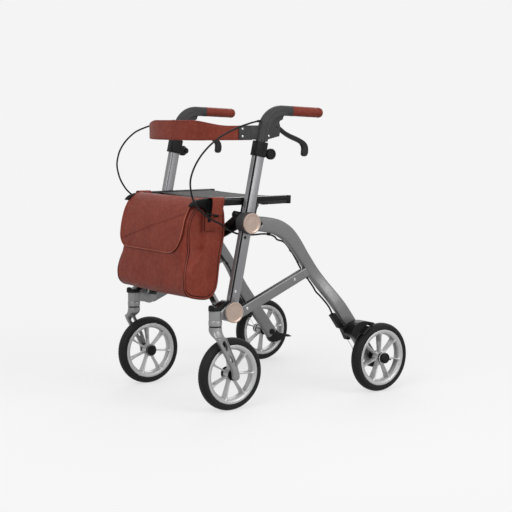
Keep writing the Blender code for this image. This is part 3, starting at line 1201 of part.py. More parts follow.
def build():
    """Build the rollator, with its groups carried by empties on the joint axes."""
    for old in list(bpy.data.objects):
        bpy.data.objects.remove(old)
    front = min(p[1] for p in CABLE_LOOP_LEFT) - CABLE_RADIUS
    rear = REAR_WHEEL_Y + WHEEL_RADIUS
    root = empty("rollator", (0, 0, 0), None)
    root.location = (0, -(front + rear) / 2, WHEEL_RADIUS - AXLE_Z)
    frames = both("frame", (SCISSOR_X, SCISSOR_Y, SCISSOR_Z), (root, root))

    upright_place = (UPRIGHT_X, UPRIGHT_FOOT_Y, UPRIGHT_FOOT_Z)
    upper_place = (UPRIGHT_X, UPPER_HUB_Y, UPPER_HUB_Z)
    lower_place = (UPRIGHT_X, LOWER_HUB_Y, LOWER_HUB_Z)
    axle_place = (REAR_WHEEL_X, REAR_WHEEL_Y, AXLE_Z)
    pair("upright", upright(), "aluminium", upright_place, frames, 25)
    pair("rear_leg", rear_leg(), "leg", upper_place, frames, 50)
    pair("lower_rail", lower_rail(), "leg", lower_place, frames)
    pair("upper_hub", upper_hub(), "charcoal", upper_place, frames)
    pair("upper_cap", disc_cap(UPPER_HUB_Y, UPPER_HUB_Z), "rose", upper_place, frames)
    pair("lower_hub", lower_hub(), "casting", lower_place, frames)
    pair("lower_cap", disc_cap(LOWER_HUB_Y, LOWER_HUB_Z), "rose", lower_place, frames)
    pair("head_cover", head_cover(), "black", (FRONT_WHEEL_X, STEER_Y, HEAD_TOP_Z), frames)
    pair("kerb_pedal", kerb_pedal(), "black", axle_place, frames)
    pair("brake_housing", brake_housing(), "black", axle_place, frames)
    rear_wheel_pieces(frames)

    brakes = both("brake", (BRAKE_SHOE_X[0], BRAKE_PIVOT_Y, BRAKE_PIVOT_Z), frames)
    pair("brake_shoe", brake_shoe(), "steel", (BRAKE_SHOE_X[0], BRAKE_PIVOT_Y, BRAKE_PIVOT_Z), brakes)

    steer_place = (FRONT_WHEEL_X, STEER_Y, FORK_CROWN_Z[1])
    casters = both("caster", steer_place, frames)
    pair("fork", fork(), "casting", steer_place, casters)
    front_wheel_pieces(casters)

    pair("collar", collar(), "black", (UPRIGHT_X, CLAMP_Y, CLAMP_Z), frames)
    pair("height_knob", height_knob(), "black", (CLAMP_EAR_X[1], CLAMP_Y, CLAMP_Z), frames)

    post = prism(post_section(), along_lean(POST_BOTTOM_Z), along_lean(POST_TOP_Z), UPRIGHT)
    post_place = UPRIGHT @ Vector((0, 0, along_lean(POST_TOP_Z)))
    handles = both("handle", post_place, frames)
    pair("handle_post", post, "aluminium", post_place, handles)
    pair("handle_body", handle_body(), "charcoal", post_place, handles)
    pair("grip", grip(), "leather", grip_axes().to_translation(), handles)
    lever_place = (UPRIGHT_X, LEVER_PIVOT_Y, LEVER_PIVOT_Z)
    levers = both("lever", lever_place, handles)
    pair("brake_lever", brake_lever(), "charcoal", lever_place, levers)

    centre = SCISSOR @ Vector((0, LOWER_LENGTH * math.sin(REST_ANGLE), 0))
    piece("cross_bar_front", cross_bar(1, -1), "black", SCISSOR @ Vector((SCISSOR_X, 0, 0)), root)
    piece("cross_bar_rear", cross_bar(-1, 1), "black", centre, root)
    link_place = SCISSOR @ Vector((*scissor_point(LINK_PIVOT_X, LINK_PIVOT_Z), 0))
    pair("fold_link", fold_link(), "black", link_place, frames)
    rail_place = SCISSOR @ Vector((*SEAT_PIVOT, 0))
    rails = both("seat_rail_carrier", rail_place, (root, root))
    pair("seat_rail", seat_rail(), "black", rail_place, rails)
    piece("seat_fabric", seat_fabric(), "seat", (0, SEAT_FABRIC_Y[0], SEAT_FABRIC_TOP_Z), root)
    piece("backrest_strap", backrest_strap(), "leather", (0, STRAP_PLATE_FRONT_Y, STRAP_PLATE_Z[1]), root, 50)
    piece("bag_body", bag_body(), "leather", (0, *FLAP_HINGE), root, 60)
    piece("bag_flap", bag_flap(), "leather", (0, *FLAP_HINGE), root, 60)

    brake_cable("brake_cable_left", CABLE_LOOP_LEFT, 1, frames[0])
    brake_cable("brake_cable_right", CABLE_LOOP_RIGHT, -1, frames[1])


build()
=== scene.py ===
"""Looks of a folding four-wheel walker: finishes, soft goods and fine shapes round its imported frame.

Shapes are drawn in metres in the drawing's own frame, +Z up, -Y the way the walker travels and +X the
user's left, and moved into the frame's place when they are done. The left half is drawn and mirrored.
"""

from __future__ import annotations

import json
import logging
import math
from collections.abc import Callable, Sequence
from dataclasses import dataclass, field
from enum import Enum

import bmesh
import bpy
from mathutils import Matrix, Vector

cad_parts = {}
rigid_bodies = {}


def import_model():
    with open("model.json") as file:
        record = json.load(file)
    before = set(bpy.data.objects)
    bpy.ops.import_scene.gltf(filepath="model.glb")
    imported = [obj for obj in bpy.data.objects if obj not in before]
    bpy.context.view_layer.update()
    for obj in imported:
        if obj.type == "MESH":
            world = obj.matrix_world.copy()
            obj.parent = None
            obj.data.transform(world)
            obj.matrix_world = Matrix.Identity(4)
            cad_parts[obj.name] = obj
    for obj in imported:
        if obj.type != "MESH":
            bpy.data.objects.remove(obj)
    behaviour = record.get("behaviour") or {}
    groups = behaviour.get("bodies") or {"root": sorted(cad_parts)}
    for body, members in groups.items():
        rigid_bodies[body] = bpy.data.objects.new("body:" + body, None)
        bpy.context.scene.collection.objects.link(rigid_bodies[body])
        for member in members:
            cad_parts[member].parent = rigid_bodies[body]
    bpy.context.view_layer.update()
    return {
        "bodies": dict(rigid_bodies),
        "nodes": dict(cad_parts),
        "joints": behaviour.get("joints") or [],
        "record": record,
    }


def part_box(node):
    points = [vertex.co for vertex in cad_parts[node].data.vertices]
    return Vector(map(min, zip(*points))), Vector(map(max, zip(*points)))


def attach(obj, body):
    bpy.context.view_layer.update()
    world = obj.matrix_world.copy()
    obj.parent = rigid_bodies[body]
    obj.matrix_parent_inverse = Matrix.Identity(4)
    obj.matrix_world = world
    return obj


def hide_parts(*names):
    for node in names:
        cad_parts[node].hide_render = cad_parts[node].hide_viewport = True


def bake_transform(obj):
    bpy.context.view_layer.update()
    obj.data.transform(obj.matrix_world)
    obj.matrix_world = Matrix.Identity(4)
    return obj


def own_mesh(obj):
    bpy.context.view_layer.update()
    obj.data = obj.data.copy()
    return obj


LOG = logging.getLogger("walker")
Flat = tuple[float, float]
Colour = tuple[float, float, float]
Spot = tuple[float, float, float]
Solid = bpy.types.Object
Socket = bpy.types.NodeSocket

AXIS_X = Vector((1, 0, 0))
AXIS_Y = Vector((0, 1, 0))
AXIS_Z = Vector((0, 0, 1))

# Wheels
WHEEL_RADIUS = 0.1
TYRE_WIDTH = 0.033
RIM_RADIUS = 0.0816
REAR_WHEEL = Vector((0.284, 0.241, WHEEL_RADIUS))
FRONT_WHEEL = Vector((0.212, -0.241, WHEEL_RADIUS))
STEER_Y = -0.289

# The uprights lean back from their feet
LEAN = math.radians(12.43)
LEAN_UP = Vector((0, math.sin(LEAN), math.cos(LEAN)))
LEAN_BACK = Vector((0, math.cos(LEAN), -math.sin(LEAN)))
UPRIGHT_FOOT = Vector((0.211, -0.231, 0.298))
SCISSOR_FOOT = Vector((0, -0.2498, 0.283))
# Room between pieces that meet, and the radii of bored holes
CLEARANCE = 0.0003
AXLE_BORE = 0.0053
PIN_BORE = 0.0043


class Side(Enum):
    """The two halves of the walker."""

    LEFT = 1
    RIGHT = -1

    @property
    def label(self) -> str:
        """Ending of a node's or body's name on this side."""
        return self.name.lower()


# Shape tools


def axes(a: Vector, b: Vector, c: Vector, origin: Sequence[float] = (0, 0, 0)) -> Matrix:
    """Matrix that takes local (a, b, c) into the drawing.

    Args:
        a: Direction of the first local axis.
        b: Direction of the second.
        c: Direction of the third.
        origin: Where the local origin lies.

    Returns:
        The 4 by 4 matrix.
    """
    return Matrix([(*a, 0), (*b, 0), (*c, 0), (*origin, 1)]).transposed()


# Outlines in the side view (y, z) with a width along X
SIDE_VIEW = axes(AXIS_Y, AXIS_Z, AXIS_X)
# Sections across an upright, with a length up it
ACROSS_UPRIGHT = axes(AXIS_X, LEAN_BACK, LEAN_UP, UPRIGHT_FOOT)
# Outlines in the scissor's plane, with a thickness across it
SCISSOR = axes(AXIS_X, LEAN_UP, LEAN_BACK, SCISSOR_FOOT)
# Shapes turned about the left steering axis
STEERING = axes(AXIS_X, AXIS_Y, AXIS_Z, (FRONT_WHEEL.x, STEER_Y, 0))


def up_upright(z: float) -> float:
    """Distance up an upright that reaches the height z."""
    return (z - UPRIGHT_FOOT.z) / math.cos(LEAN)


def about_x(place: Sequence[float]) -> Matrix:
    """Axes for a shape turned about a line along X through a place."""
    return axes(AXIS_Y, AXIS_Z, AXIS_X, place)


def linked(name: str, data: bpy.types.ID) -> Solid:
    """Object of some data, linked to the scene."""
    obj = bpy.data.objects.new(name, data)
    bpy.context.scene.collection.objects.link(obj)
    return obj


def mesh_of(name: str, vertices: Sequence, faces: Sequence, outward: bool = True) -> Solid:
    """Object from vertices and faces.

    Args:
        name: The object's name.
        vertices: Points in the drawing.
        faces: Lists of vertex numbers.
        outward: Turn the faces outwards, for a closed shape.

    Returns:
        The new object.
    """
    mesh = bpy.data.meshes.new(name)
    mesh.from_pydata([tuple(v) for v in vertices], [], faces)
    if outward:
        work = bmesh.new()
        work.from_mesh(mesh)
        bmesh.ops.remove_doubles(work, verts=work.verts, dist=1e-07)
        bmesh.ops.recalc_face_normals(work, faces=work.faces)
        work.to_mesh(mesh)
        work.free()
    return linked(name, mesh)


def loft(name: str, rings: Sequence[Sequence[Vector]], around: bool = False) -> Solid:
    """Closed skin over rings that hold the same number of points.

    Args:
        name: The object's name.
        rings: The rings in order.
        around: Join the last ring to the first in place of closing both ends.

    Returns:
        The new object.
    """
    count = len(rings[0])
    vertices = [point for ring in rings for point in ring]
    faces = [] if around else [list(range(count)), list(range(len(vertices) - count, len(vertices)))]
    last = len(rings) if around else len(rings) - 1
    for level in range(last):
        low = level * count
        high = (level + 1) % len(rings) * count
        for i in range(count):
            j = (i + 1) % count
            faces.append([low + i, low + j, high + j, high + i])
    return mesh_of(name, vertices, faces)


def prism(name: str, outline: Sequence[Flat], low: float, high: float, place: Matrix = SIDE_VIEW) -> Solid:
    """Outline in the first two axes, extruded along the third.

    Args:
        name: The object's name.
        outline: Points of the outline.
        low: Where the extrusion starts.
        high: Where it ends.
        place: The axes that the outline is drawn in.

    Returns:
        The new object.
    """
    return loft(name, [[place @ Vector((a, b, c)) for a, b in outline] for c in (low, high)])


def circle(radius: float, centre: Flat = (0, 0), steps: int = 48) -> list[Flat]:
    """Points round a circle."""
    turns = [2 * math.pi * i / steps for i in range(steps)]
    return [(centre[0] + radius * math.cos(t), centre[1] + radius * math.sin(t)) for t in turns]


def arc(radius: float, centre: Flat, start: float, end: float, steps: int) -> list[Flat]:
    """Points along an arc, with its angles in degrees."""
    turns = [math.radians(start + (end - start) * i / steps) for i in range(steps + 1)]
    return [(centre[0] + radius * math.cos(t), centre[1] + radius * math.sin(t)) for t in turns]


def round_box(half_a: float, half_b: float, radius: float, steps: int = 5) -> list[Flat]:
    """Rectangle about the origin with round corners.

    Args:
        half_a: Half its first side.
        half_b: Half its second side.
        radius: Radius of its corners.
        steps: Steps round each corner.

    Returns:
        The outline's points.
    """
    outline: list[Flat] = []
    for a, b, start in ((1, 1, 0), (-1, 1, 90), (-1, -1, 180), (1, -1, 270)):
        outline += arc(radius, (a * (half_a - radius), b * (half_b - radius)), start, start + 90, steps)
    return outline


def rows(width: int, *numbers: int) -> list[tuple[float, ...]]:
    """Rows of a table of lengths in metres.

    Args:
        width: How many numbers a row holds.
        numbers: The rows one after another, in tenths of a millimetre.

    Returns:
        The rows.
    """
    metres = [number / 10000 for number in numbers]
    return [tuple(metres[i:i + width]) for i in range(0, len(metres), width)]


def held(value: float) -> float:
    """A value held between nought and one."""
    return min(1.0, max(0.0, value))


def gentle(share: float) -> float:
    """A share that starts and ends gently."""
    return share * share * (3 - 2 * share)


def step_at(line: Sequence[Vector], i: int) -> Vector:
    """Step from the point before point i to the one after it."""
    return line[min(i + 1, len(line) - 1)] - line[max(i - 1, 0)]


def run_lengths(line: Sequence[Vector]) -> list[float]:
    """Distance along a line at each of its points."""
    lengths = [0.0]
    for a, b in zip(line, line[1:]):
        lengths.append(lengths[-1] + (b - a).length)
    return lengths


def oval(half_a: float, half_b: float, power: float, steps: int) -> list[Flat]:
    """Points round an oval, which a power under one makes squarer."""
    return [(math.copysign(abs(a) ** power, a) * half_a, math.copysign(abs(b) ** power, b) * half_b)
        for a, b in circle(1, steps=steps)]


def between(a: Vector, b: Vector, c: Vector, d: Vector, share: float) -> Vector:
    """Point at a share of the way from b to c on the smooth curve through a, b, c and d."""
    return 0.5 * (2 * b + (c - a) * share + (2 * a - 5 * b + 4 * c - d) * share ** 2
        + (3 * b - a - 3 * c + d) * share ** 3)


def smooth_line(points: Sequence[Sequence[float]], step: float) -> list[Vector]:
    """Points at even distance along a smooth curve through the given ones.

    Args:
        points: The route's own points, of two or three numbers.
        step: Distance from one new point to the next.

    Returns:
        The new points, of three numbers.
    """
    line = [Vector((*p, 0)) if len(p) == 2 else Vector(p) for p in points]
    ends = [line[0] * 2 - line[1]] + line + [line[-1] * 2 - line[-2]]
    fine: list[Vector] = []
    for a, b, c, d in zip(ends, ends[1:], ends[2:], ends[3:]):
        fine += [between(a, b, c, d, i / 24) for i in range(24)]
    fine.append(line[-1])
    lengths = run_lengths(fine)
    count = max(2, round(lengths[-1] / step))
    result: list[Vector] = []
    place = 0
    for i in range(count + 1):
        want = lengths[-1] * i / count
        while place < len(fine) - 2 and lengths[place + 1] < want:
            place += 1
        share = (want - lengths[place]) / max(1e-12, lengths[place + 1] - lengths[place])
        result.append(fine[place].lerp(fine[place + 1], share))
    return result


def smooth_edge(points: Sequence[Flat], step: float) -> list[Flat]:
    """Stretch of an outline along the smooth curve through the given points."""
    return [(p.x, p.y) for p in smooth_line(points, step)]


def smooth_outline(points: Sequence[Flat], step: float) -> list[Flat]:
    """Closed smooth outline through the given points."""
    outline = []
    for i in range(len(points)):
        a, b, c, d = (Vector(points[(i + k) % len(points)]) for k in (-1, 0, 1, 2))
        steps = max(1, round((c - b).length / step))
        outline += [between(a, b, c, d, k / steps).to_tuple() for k in range(steps)]
    return outline


def revolve(name: str, profile: Sequence[Flat], place: Matrix, steps: int = 64) -> Solid:
    """Profile turned about the third axis.

    Args:
        name: The object's name.
        profile: Points (radius, height). It closes on itself, or at both ends on the axis.
        place: The axes that the profile is drawn in.
        steps: Steps round the turn.

    Returns:
        The new object.
    """
    vertices: list[Vector] = []
    rings: list[list[int]] = []
    for radius, height in profile:
        first = len(vertices)
        if radius < 1e-09:
            rings.append([first])
            vertices.append(place @ Vector((0, 0, height)))
            continue
        rings.append(list(range(first, first + steps)))
        vertices += [place @ Vector((a, b, height)) for a, b in circle(radius, steps=steps)]
    faces = []
    for here, there in zip(rings, rings[1:] + rings[:1]):
        if len(here) == 1 and len(there) == 1:
            continue
        for i in range(steps):
            j = (i + 1) % steps
            corners = [here[i % len(here)], here[j % len(here)], there[j % len(there)], there[i % len(there)]]
            faces.append(list(dict.fromkeys(corners)))
    return mesh_of(name, vertices, faces)


def rod(name: str, radius: float, low: float, high: float, place: Matrix, ease: float = 0.0) -> Solid:
    """Round bar along the third axis, with its end edges eased."""
    if ease <= 0:
        return prism(name, circle(radius), low, high, place)
    profile = [(0, low), (radius - ease, low), (radius, low + ease), (radius, high - ease), (radius - ease, high),
        (0, high)]
    return revolve(name, profile, place, 48)


def tube(name: str, points: Sequence[Vector], radius: float, sides: int = 12) -> Solid:
    """Round tube along a line of points, without a twist.

    Args:
        name: The object's name.
        points: The centre line.
        radius: The tube's radius.
        sides: Sides round it.

    Returns:
        The new object.
    """
    rings = []
    normal = (points[1] - points[0]).orthogonal().normalized()
    for i, point in enumerate(points):
        way = step_at(points, i).normalized()
        normal = (normal - way * normal.dot(way)).normalized()
        other = way.cross(normal)
        rings.append([point + normal * a + other * b for a, b in circle(radius, steps=sides)])
    return loft(name, rings)


def baked(obj: Solid) -> Solid:
    """Turn an object with its modifiers into a plain mesh."""
    evaluated = obj.evaluated_get(bpy.context.evaluated_depsgraph_get())
    mesh = bpy.data.meshes.new_from_object(evaluated)
    obj.modifiers.clear()
    obj.data = mesh
    return obj


def combined(target: Solid, others: Sequence[Solid], operation: str) -> Solid:
    """Boolean between a target and other shapes, which are then removed.

    Args:
        target: The shape that stays.
        others: The shapes added to it or cut out of it.
        operation: UNION or DIFFERENCE.

    Returns:
        The target.
    """
    for other in others:
        step = target.modifiers.new("combine", "BOOLEAN")
        step.operation = operation
        step.object = other
    baked(target)
    for other in others:
        bpy.data.objects.remove(other)
    return target


def fused(target: Solid, *others: Solid) -> Solid:
    """Join shapes that cross into one body."""
    return combined(target, others, "UNION")


def cut(target: Solid, *others: Solid) -> Solid:
    """Take shapes away from a body."""
    return combined(target, others, "DIFFERENCE")


def eased(obj: Solid, width: float, segments: int = 3, angle: float = 35) -> Solid:
    """Round the sharp edges of a shape.

    Args:
        obj: The shape.
        width: Width of the rounding.
        segments: Steps across it.
        angle: Edges sharper than this, in degrees, are rounded.

    Returns:
        The shape.
    """
    step = obj.modifiers.new("ease", "BEVEL")
    step.width = width
    step.segments = segments
    step.limit_method = "ANGLE"
    step.angle_limit = math.radians(angle)
    step.use_clamp_overlap = True
    return baked(obj)


def slab(name: str, outline: Sequence[Flat], low: float, high: float, ease: float, segments: int = 3,
        angle: float = 35, place: Matrix = SIDE_VIEW) -> Solid:
    """Prism with its sharp edges rounded.

    Args:
        name: The object's name.
        outline: Points of the outline.
        low: Where the extrusion starts.
        high: Where it ends.
        ease: Width of the rounding.
        segments: Steps across it.
        angle: Edges sharper than this, in degrees, are rounded.
        place: The axes that the outline is drawn in.

    Returns:
        The shape.
    """
    return eased(prism(name, outline, low, high, place), ease, segments, angle)


def grouped(name: str, parts: Sequence[Solid]) -> Solid:
    """One object that holds separate shapes side by side, with their materials."""
    work = bmesh.new()
    materials: list[bpy.types.Material] = []
    for part in parts:
        first = len(work.faces)
        work.from_mesh(part.data)
        work.faces.ensure_lookup_table()
        slots = []
        for finish in part.data.materials:
            if finish not in materials:
                materials.append(finish)
            slots.append(materials.index(finish))
        for face in work.faces[first:]:
            face.material_index = slots[face.material_index] if slots else 0
    mesh = bpy.data.meshes.new(name)
    work.to_mesh(mesh)
    work.free()
    for finish in materials:
        mesh.materials.append(finish)
    for part in parts:
        bpy.data.objects.remove(part)
    return linked(name, mesh)


def mirrored(name: str, obj: Solid) -> Solid:
    """Mirror image of a shape through the middle plane."""
    mesh = obj.data.copy()
    mesh.transform(Matrix.Scale(-1, 4, AXIS_X))
    mesh.flip_normals()
    return linked(name, mesh)


def painted(obj: Solid, stock: Stock) -> Solid:
    """Give a shape one material."""
    obj.data.materials.clear()
    obj.data.materials.append(stock.material)
    for polygon in obj.data.polygons:
        polygon.material_index = 0
    return obj


# Finishes


def linear(*colour: float) -> Colour:
    """Linear colour of three sRGB values from 0 to 255."""
    shares = [c / 255 for c in colour]
    return tuple(s / 12.92 if s <= 0.04045 else ((s + 0.055) / 1.055) ** 2.4 for s in shares)


class Tree:
    """Node tree, with short calls that add and join nodes."""

    def __init__(self, tree: bpy.types.NodeTree) -> None:
        """Take a tree and empty it.

        Args:
            tree: The tree.
        """
        self.tree = tree
        tree.nodes.clear()

    def add(self, kind: str, settings: dict[str, object] | None = None, **inputs: object) -> bpy.types.Node:
        """Add a node.

        Args:
            kind: The node's type.
            settings: Its own properties.
            inputs: Values or sockets for its inputs, with _ for a space in a name.

        Returns:
            The node.
        """
        node = self.tree.nodes.new(kind)
        for key, value in (settings or {}).items():
            setattr(node, key, value)
        for key, value in inputs.items():
            self.feed(node.inputs[key.replace("_", " ")], value)
        return node

    def feed(self, socket: Socket, value: object) -> None:
        """Link a socket to an input, or set the input's value."""
        if isinstance(value, Socket):
            self.tree.links.new(value, socket)
        else:
            socket.default_value = value

    def sum(self, operation: str, a: object, b: object = 0.0) -> Socket:
        """Arithmetic of two values."""
        node = self.add("ShaderNodeMath", {"operation": operation})
        self.feed(node.inputs[0], a)
        self.feed(node.inputs[1], b)
        return node.outputs[0]

    def join(self, kind: str, a: bpy.types.Node, b: bpy.types.Node, **inputs: object) -> bpy.types.Node:
        """Add a node that adds or mixes two shaders.

        Args:
            kind: The node's type.
            a: The first shader's node.
            b: The second shader's node.
            inputs: Values or sockets for its other inputs.

        Returns:
            The node.
        """
        node = self.add(kind, **inputs)
        for socket, shader in zip(list(node.inputs)[-2:], (a, b)):
            self.feed(socket, shader.outputs[0])
        return node


class Graph(Tree):
    """Node tree of one material."""

    def __init__(self, name: str) -> None:
        """Start an empty material that reads Object coordinates.

        Args:
            name: The material's name.
        """
        self.material = bpy.data.materials.new(name)
        self.material.use_nodes = True
        super().__init__(self.material.node_tree)
        self.where = self.add("ShaderNodeTexCoord").outputs["Object"]

    def placed(self, location: Sequence[float] = (0, 0, 0), rotation: Sequence[float] = (0, 0, 0),
            scale: Sequence[float] = (1, 1, 1)) -> Socket:
        """Object coordinates moved, turned and stretched for a pattern."""
        return self.add("ShaderNodeMapping", Vector=self.where, Location=location, Rotation=rotation,
            Scale=scale).outputs["Vector"]

    def noise(self, size: float, detail: float = 2.0, where: Socket | None = None, roughness: float = 0.5) -> Socket:
        """Noise whose lumps have a size in metres."""
        return self.add("ShaderNodeTexNoise", Vector=where or self.where, Scale=1 / size, Detail=detail,
            Roughness=roughness).outputs["Fac"]

    def cells(self, size: float, feature: str = "F1") -> Socket:
        """Distance within cells of a size in metres."""
        return self.add("ShaderNodeTexVoronoi", {"feature": feature}, Vector=self.where,
            Scale=1 / size).outputs["Distance"]

    def ramp(self, value: Socket, low: float, high: float, to_low: float = 0.0, to_high: float = 1.0) -> Socket:
        """Map a value from one range to another, held at its ends."""
        return self.add("ShaderNodeMapRange", Value=value, From_Min=low, From_Max=high, To_Min=to_low,
            To_Max=to_high).outputs["Result"]

    def blend(self, share: object, a: object, b: object) -> Socket:
        """Blend of two colours, each a linear colour or a socket."""
        node = self.add("ShaderNodeMix", {"data_type": "RGBA"})
        self.feed(node.inputs[0], share)
        for place, colour in ((6, a), (7, b)):
            self.feed(node.inputs[place], colour if isinstance(colour, Socket) else (*colour, 1))
        return node.outputs[2]

    def bump(self, height: Socket, depth: float, strength: float = 1.0, below: Socket | None = None) -> Socket:
        """Bump of a depth in metres, on top of another one."""
        node = self.add("ShaderNodeBump", Height=height, Distance=depth, Strength=strength)
        if below is not None:
            self.feed(node.inputs["Normal"], below)
        return node.outputs["Normal"]

    def surface(self, **inputs: object) -> bpy.types.Material:
        """Finish with a Principled BSDF.

        Args:
            inputs: Values or sockets for the shader's inputs, with _ for a space.

        Returns:
            The material.
        """
        shader = self.add("ShaderNodeBsdfPrincipled", **inputs)
        self.add("ShaderNodeOutputMaterial", Surface=shader.outputs["BSDF"])
        return self.material


@dataclass(frozen=True)
class Finish:
    """Painted, plated or moulded surface with a fine grain.

    Attributes:
        name: The material's name.
        colour: Its linear colour.
        roughness: Its mean roughness.
        metal: How metallic it is.
        grain: Depth of its texture in metres.
        grain_size: Size of one grain in metres.
        mottle: How far its colour strays, as a share.
        coat: Weight of a clear coat.
        shine: Level of its reflections where it is not metal.
    """

    name: str
    colour: Colour
    roughness: float
    metal: float = 0.0
    grain: float = 0.00003
    grain_size: float = 0.0007
    mottle: float = 0.12
    coat: float = 0.0
    shine: float = 0.15

    def make(self) -> bpy.types.Material:
        """Build the material once.

        Returns:
            The material.
        """
        known = bpy.data.materials.get(self.name)
        return known or self.build()

    def build(self) -> bpy.types.Material:
        """Build the node tree."""
        graph = Graph(self.name)
        cloud = graph.noise(0.035, 3)
        dark = tuple(c * (1 - self.mottle) for c in self.colour)
        light = tuple(min(1.0, c * (1 + self.mottle)) for c in self.colour)
        grain = graph.noise(self.grain_size, 2)
        return graph.surface(Base_Color=graph.blend(graph.ramp(cloud, 0.35, 0.65), dark, light),
            Roughness=graph.ramp(graph.noise(0.012, 4), 0.3, 0.7, self.roughness - 0.05, self.roughness + 0.05),
            Metallic=self.metal, Coat_Weight=self.coat, Coat_Roughness=0.25, Specular_IOR_Level=self.shine,
            Normal=graph.bump(grain, self.grain))


@dataclass(frozen=True)
class Brushed(Finish):
    """Metal drawn or brushed along one axis.

    Attributes:
        along: Stretch of the brush marks along X, Y and Z.
        turn: Turn of the marks about X in radians.
    """

    along: Spot = (1.0, 1.0, 0.02)
    turn: float = 0.0

    def build(self) -> bpy.types.Material:
        """Build the node tree."""
        graph = Graph(self.name)
        marks = graph.noise(0.0012, 3, graph.placed(rotation=(self.turn, 0, 0), scale=self.along))
        cloud = graph.noise(0.05, 2)
        dark = tuple(c * (1 - self.mottle) for c in self.colour)
        tint = graph.sum("ADD", graph.ramp(marks, 0.3, 0.7, 0, 0.5), graph.ramp(cloud, 0.35, 0.65, 0, 0.5))
        return graph.surface(Base_Color=graph.blend(tint, dark, self.colour), Metallic=self.metal,
            Roughness=graph.ramp(marks, 0.3, 0.7, self.roughness - 0.06, self.roughness + 0.06),
            Normal=graph.bump(marks, self.grain), Coat_Weight=self.coat, Coat_Roughness=0.25,
            Specular_IOR_Level=self.shine)


@dataclass(frozen=True)
class Hide(Finish):
    """Smooth-grained leather with darker pores and a rubbed sheen.

    Attributes:
        shade: Colour in its pores and hollows.
        rubbed: Colour where it is worn light.
    """

    shade: Colour = (0, 0, 0)
    rubbed: Colour = (0, 0, 0)

    def build(self) -> bpy.types.Material:
        """Build the node tree."""
        graph = Graph(self.name)
        cloud = graph.noise(0.045, 5, roughness=0.6)
        streak = graph.noise(0.009, 5, graph.placed(rotation=(0.4, 0.2, 0), scale=(1.0, 1.0, 0.75)), 0.7)
        pore = graph.cells(0.0011, "SMOOTH_F1")
        crease = graph.cells(0.0032, "DISTANCE_TO_EDGE")
        base = graph.blend(graph.ramp(cloud, 0.32, 0.66, 0.45, 1.0), self.shade, self.colour)
        base = graph.blend(graph.ramp(streak, 0.46, 0.8, 0, 0.45), base, self.rubbed)
        base = graph.blend(graph.ramp(pore, 0.3, 0.75, 0, 0.3), base, self.shade)
        base = graph.blend(graph.ramp(crease, 0.0, 0.05, 0.22, 0.0), base, self.shade)
        pores = graph.bump(pore, 0.00016, 0.55)
        creases = graph.bump(graph.ramp(crease, 0.0, 0.1), 0.00012, 0.6, pores)
        return graph.surface(Base_Color=base, Roughness=graph.ramp(streak, 0.3, 0.7, self.roughness + 0.07,
            self.roughness - 0.07), Metallic=0.0, Normal=graph.bump(cloud, 0.0007, 0.35, creases),
            Specular_IOR_Level=0.12)


@dataclass(frozen=True)
class Weave(Finish):
    """Plain-woven synthetic cloth.

    Attributes:
        thread: Distance between threads in metres.
        light: Colour painted on the threads' tops as a painted highlight, and on random lighter patches of real tone.
    """

    thread: float = 0.0011
    light: Colour = (0, 0, 0)

    def build(self) -> bpy.types.Material:
        """Build the node tree."""
        graph = Graph(self.name)
        spot = graph.add("ShaderNodeSeparateXYZ", Vector=graph.where)
        waves = []
        for axis in ("X", "Y"):
            turns = graph.sum("MULTIPLY", spot.outputs[axis], math.pi / self.thread)
            waves.append(graph.sum("SINE", turns))
        over = graph.sum("MULTIPLY", waves[0], waves[1])
        cloud = graph.noise(0.04, 3)
        # Painted highlight: the threads' tops, where the weave bumps up, are coloured lighter.
        base = graph.blend(graph.ramp(over, -1, 1), self.colour, self.light)
        base = graph.blend(graph.ramp(cloud, 0.35, 0.7, 0, 0.3), base, self.light)
        fuzz = graph.bump(graph.noise(0.0005, 2), 0.00005)
        return graph.surface(Base_Color=base, Roughness=self.roughness, Metallic=0.0, Sheen_Weight=0.05,
            Sheen_Roughness=0.5, Specular_IOR_Level=self.shine, Normal=graph.bump(over, 0.00022, 0.8, fuzz))


@dataclass(frozen=True)
class Rubber(Finish):
    """Tyre rubber with a dusty tread."""

    def build(self) -> bpy.types.Material:
        """Build the node tree."""
        graph = Graph(self.name)
        scuff = graph.noise(0.006, 5, roughness=0.7)
        dust = graph.noise(0.03, 3)
        light = tuple(c * 1.8 + 0.002 for c in self.colour)
        share = graph.sum("MULTIPLY", graph.ramp(scuff, 0.45, 0.8, 0, 0.7), graph.ramp(dust, 0.35, 0.7))
        return graph.surface(Base_Color=graph.blend(share, self.colour, light), Metallic=0.0,
            Roughness=graph.ramp(scuff, 0.3, 0.75, self.roughness - 0.1, self.roughness + 0.1),
            Specular_IOR_Level=self.shine, Normal=graph.bump(graph.noise(0.0006, 3), 0.00006))


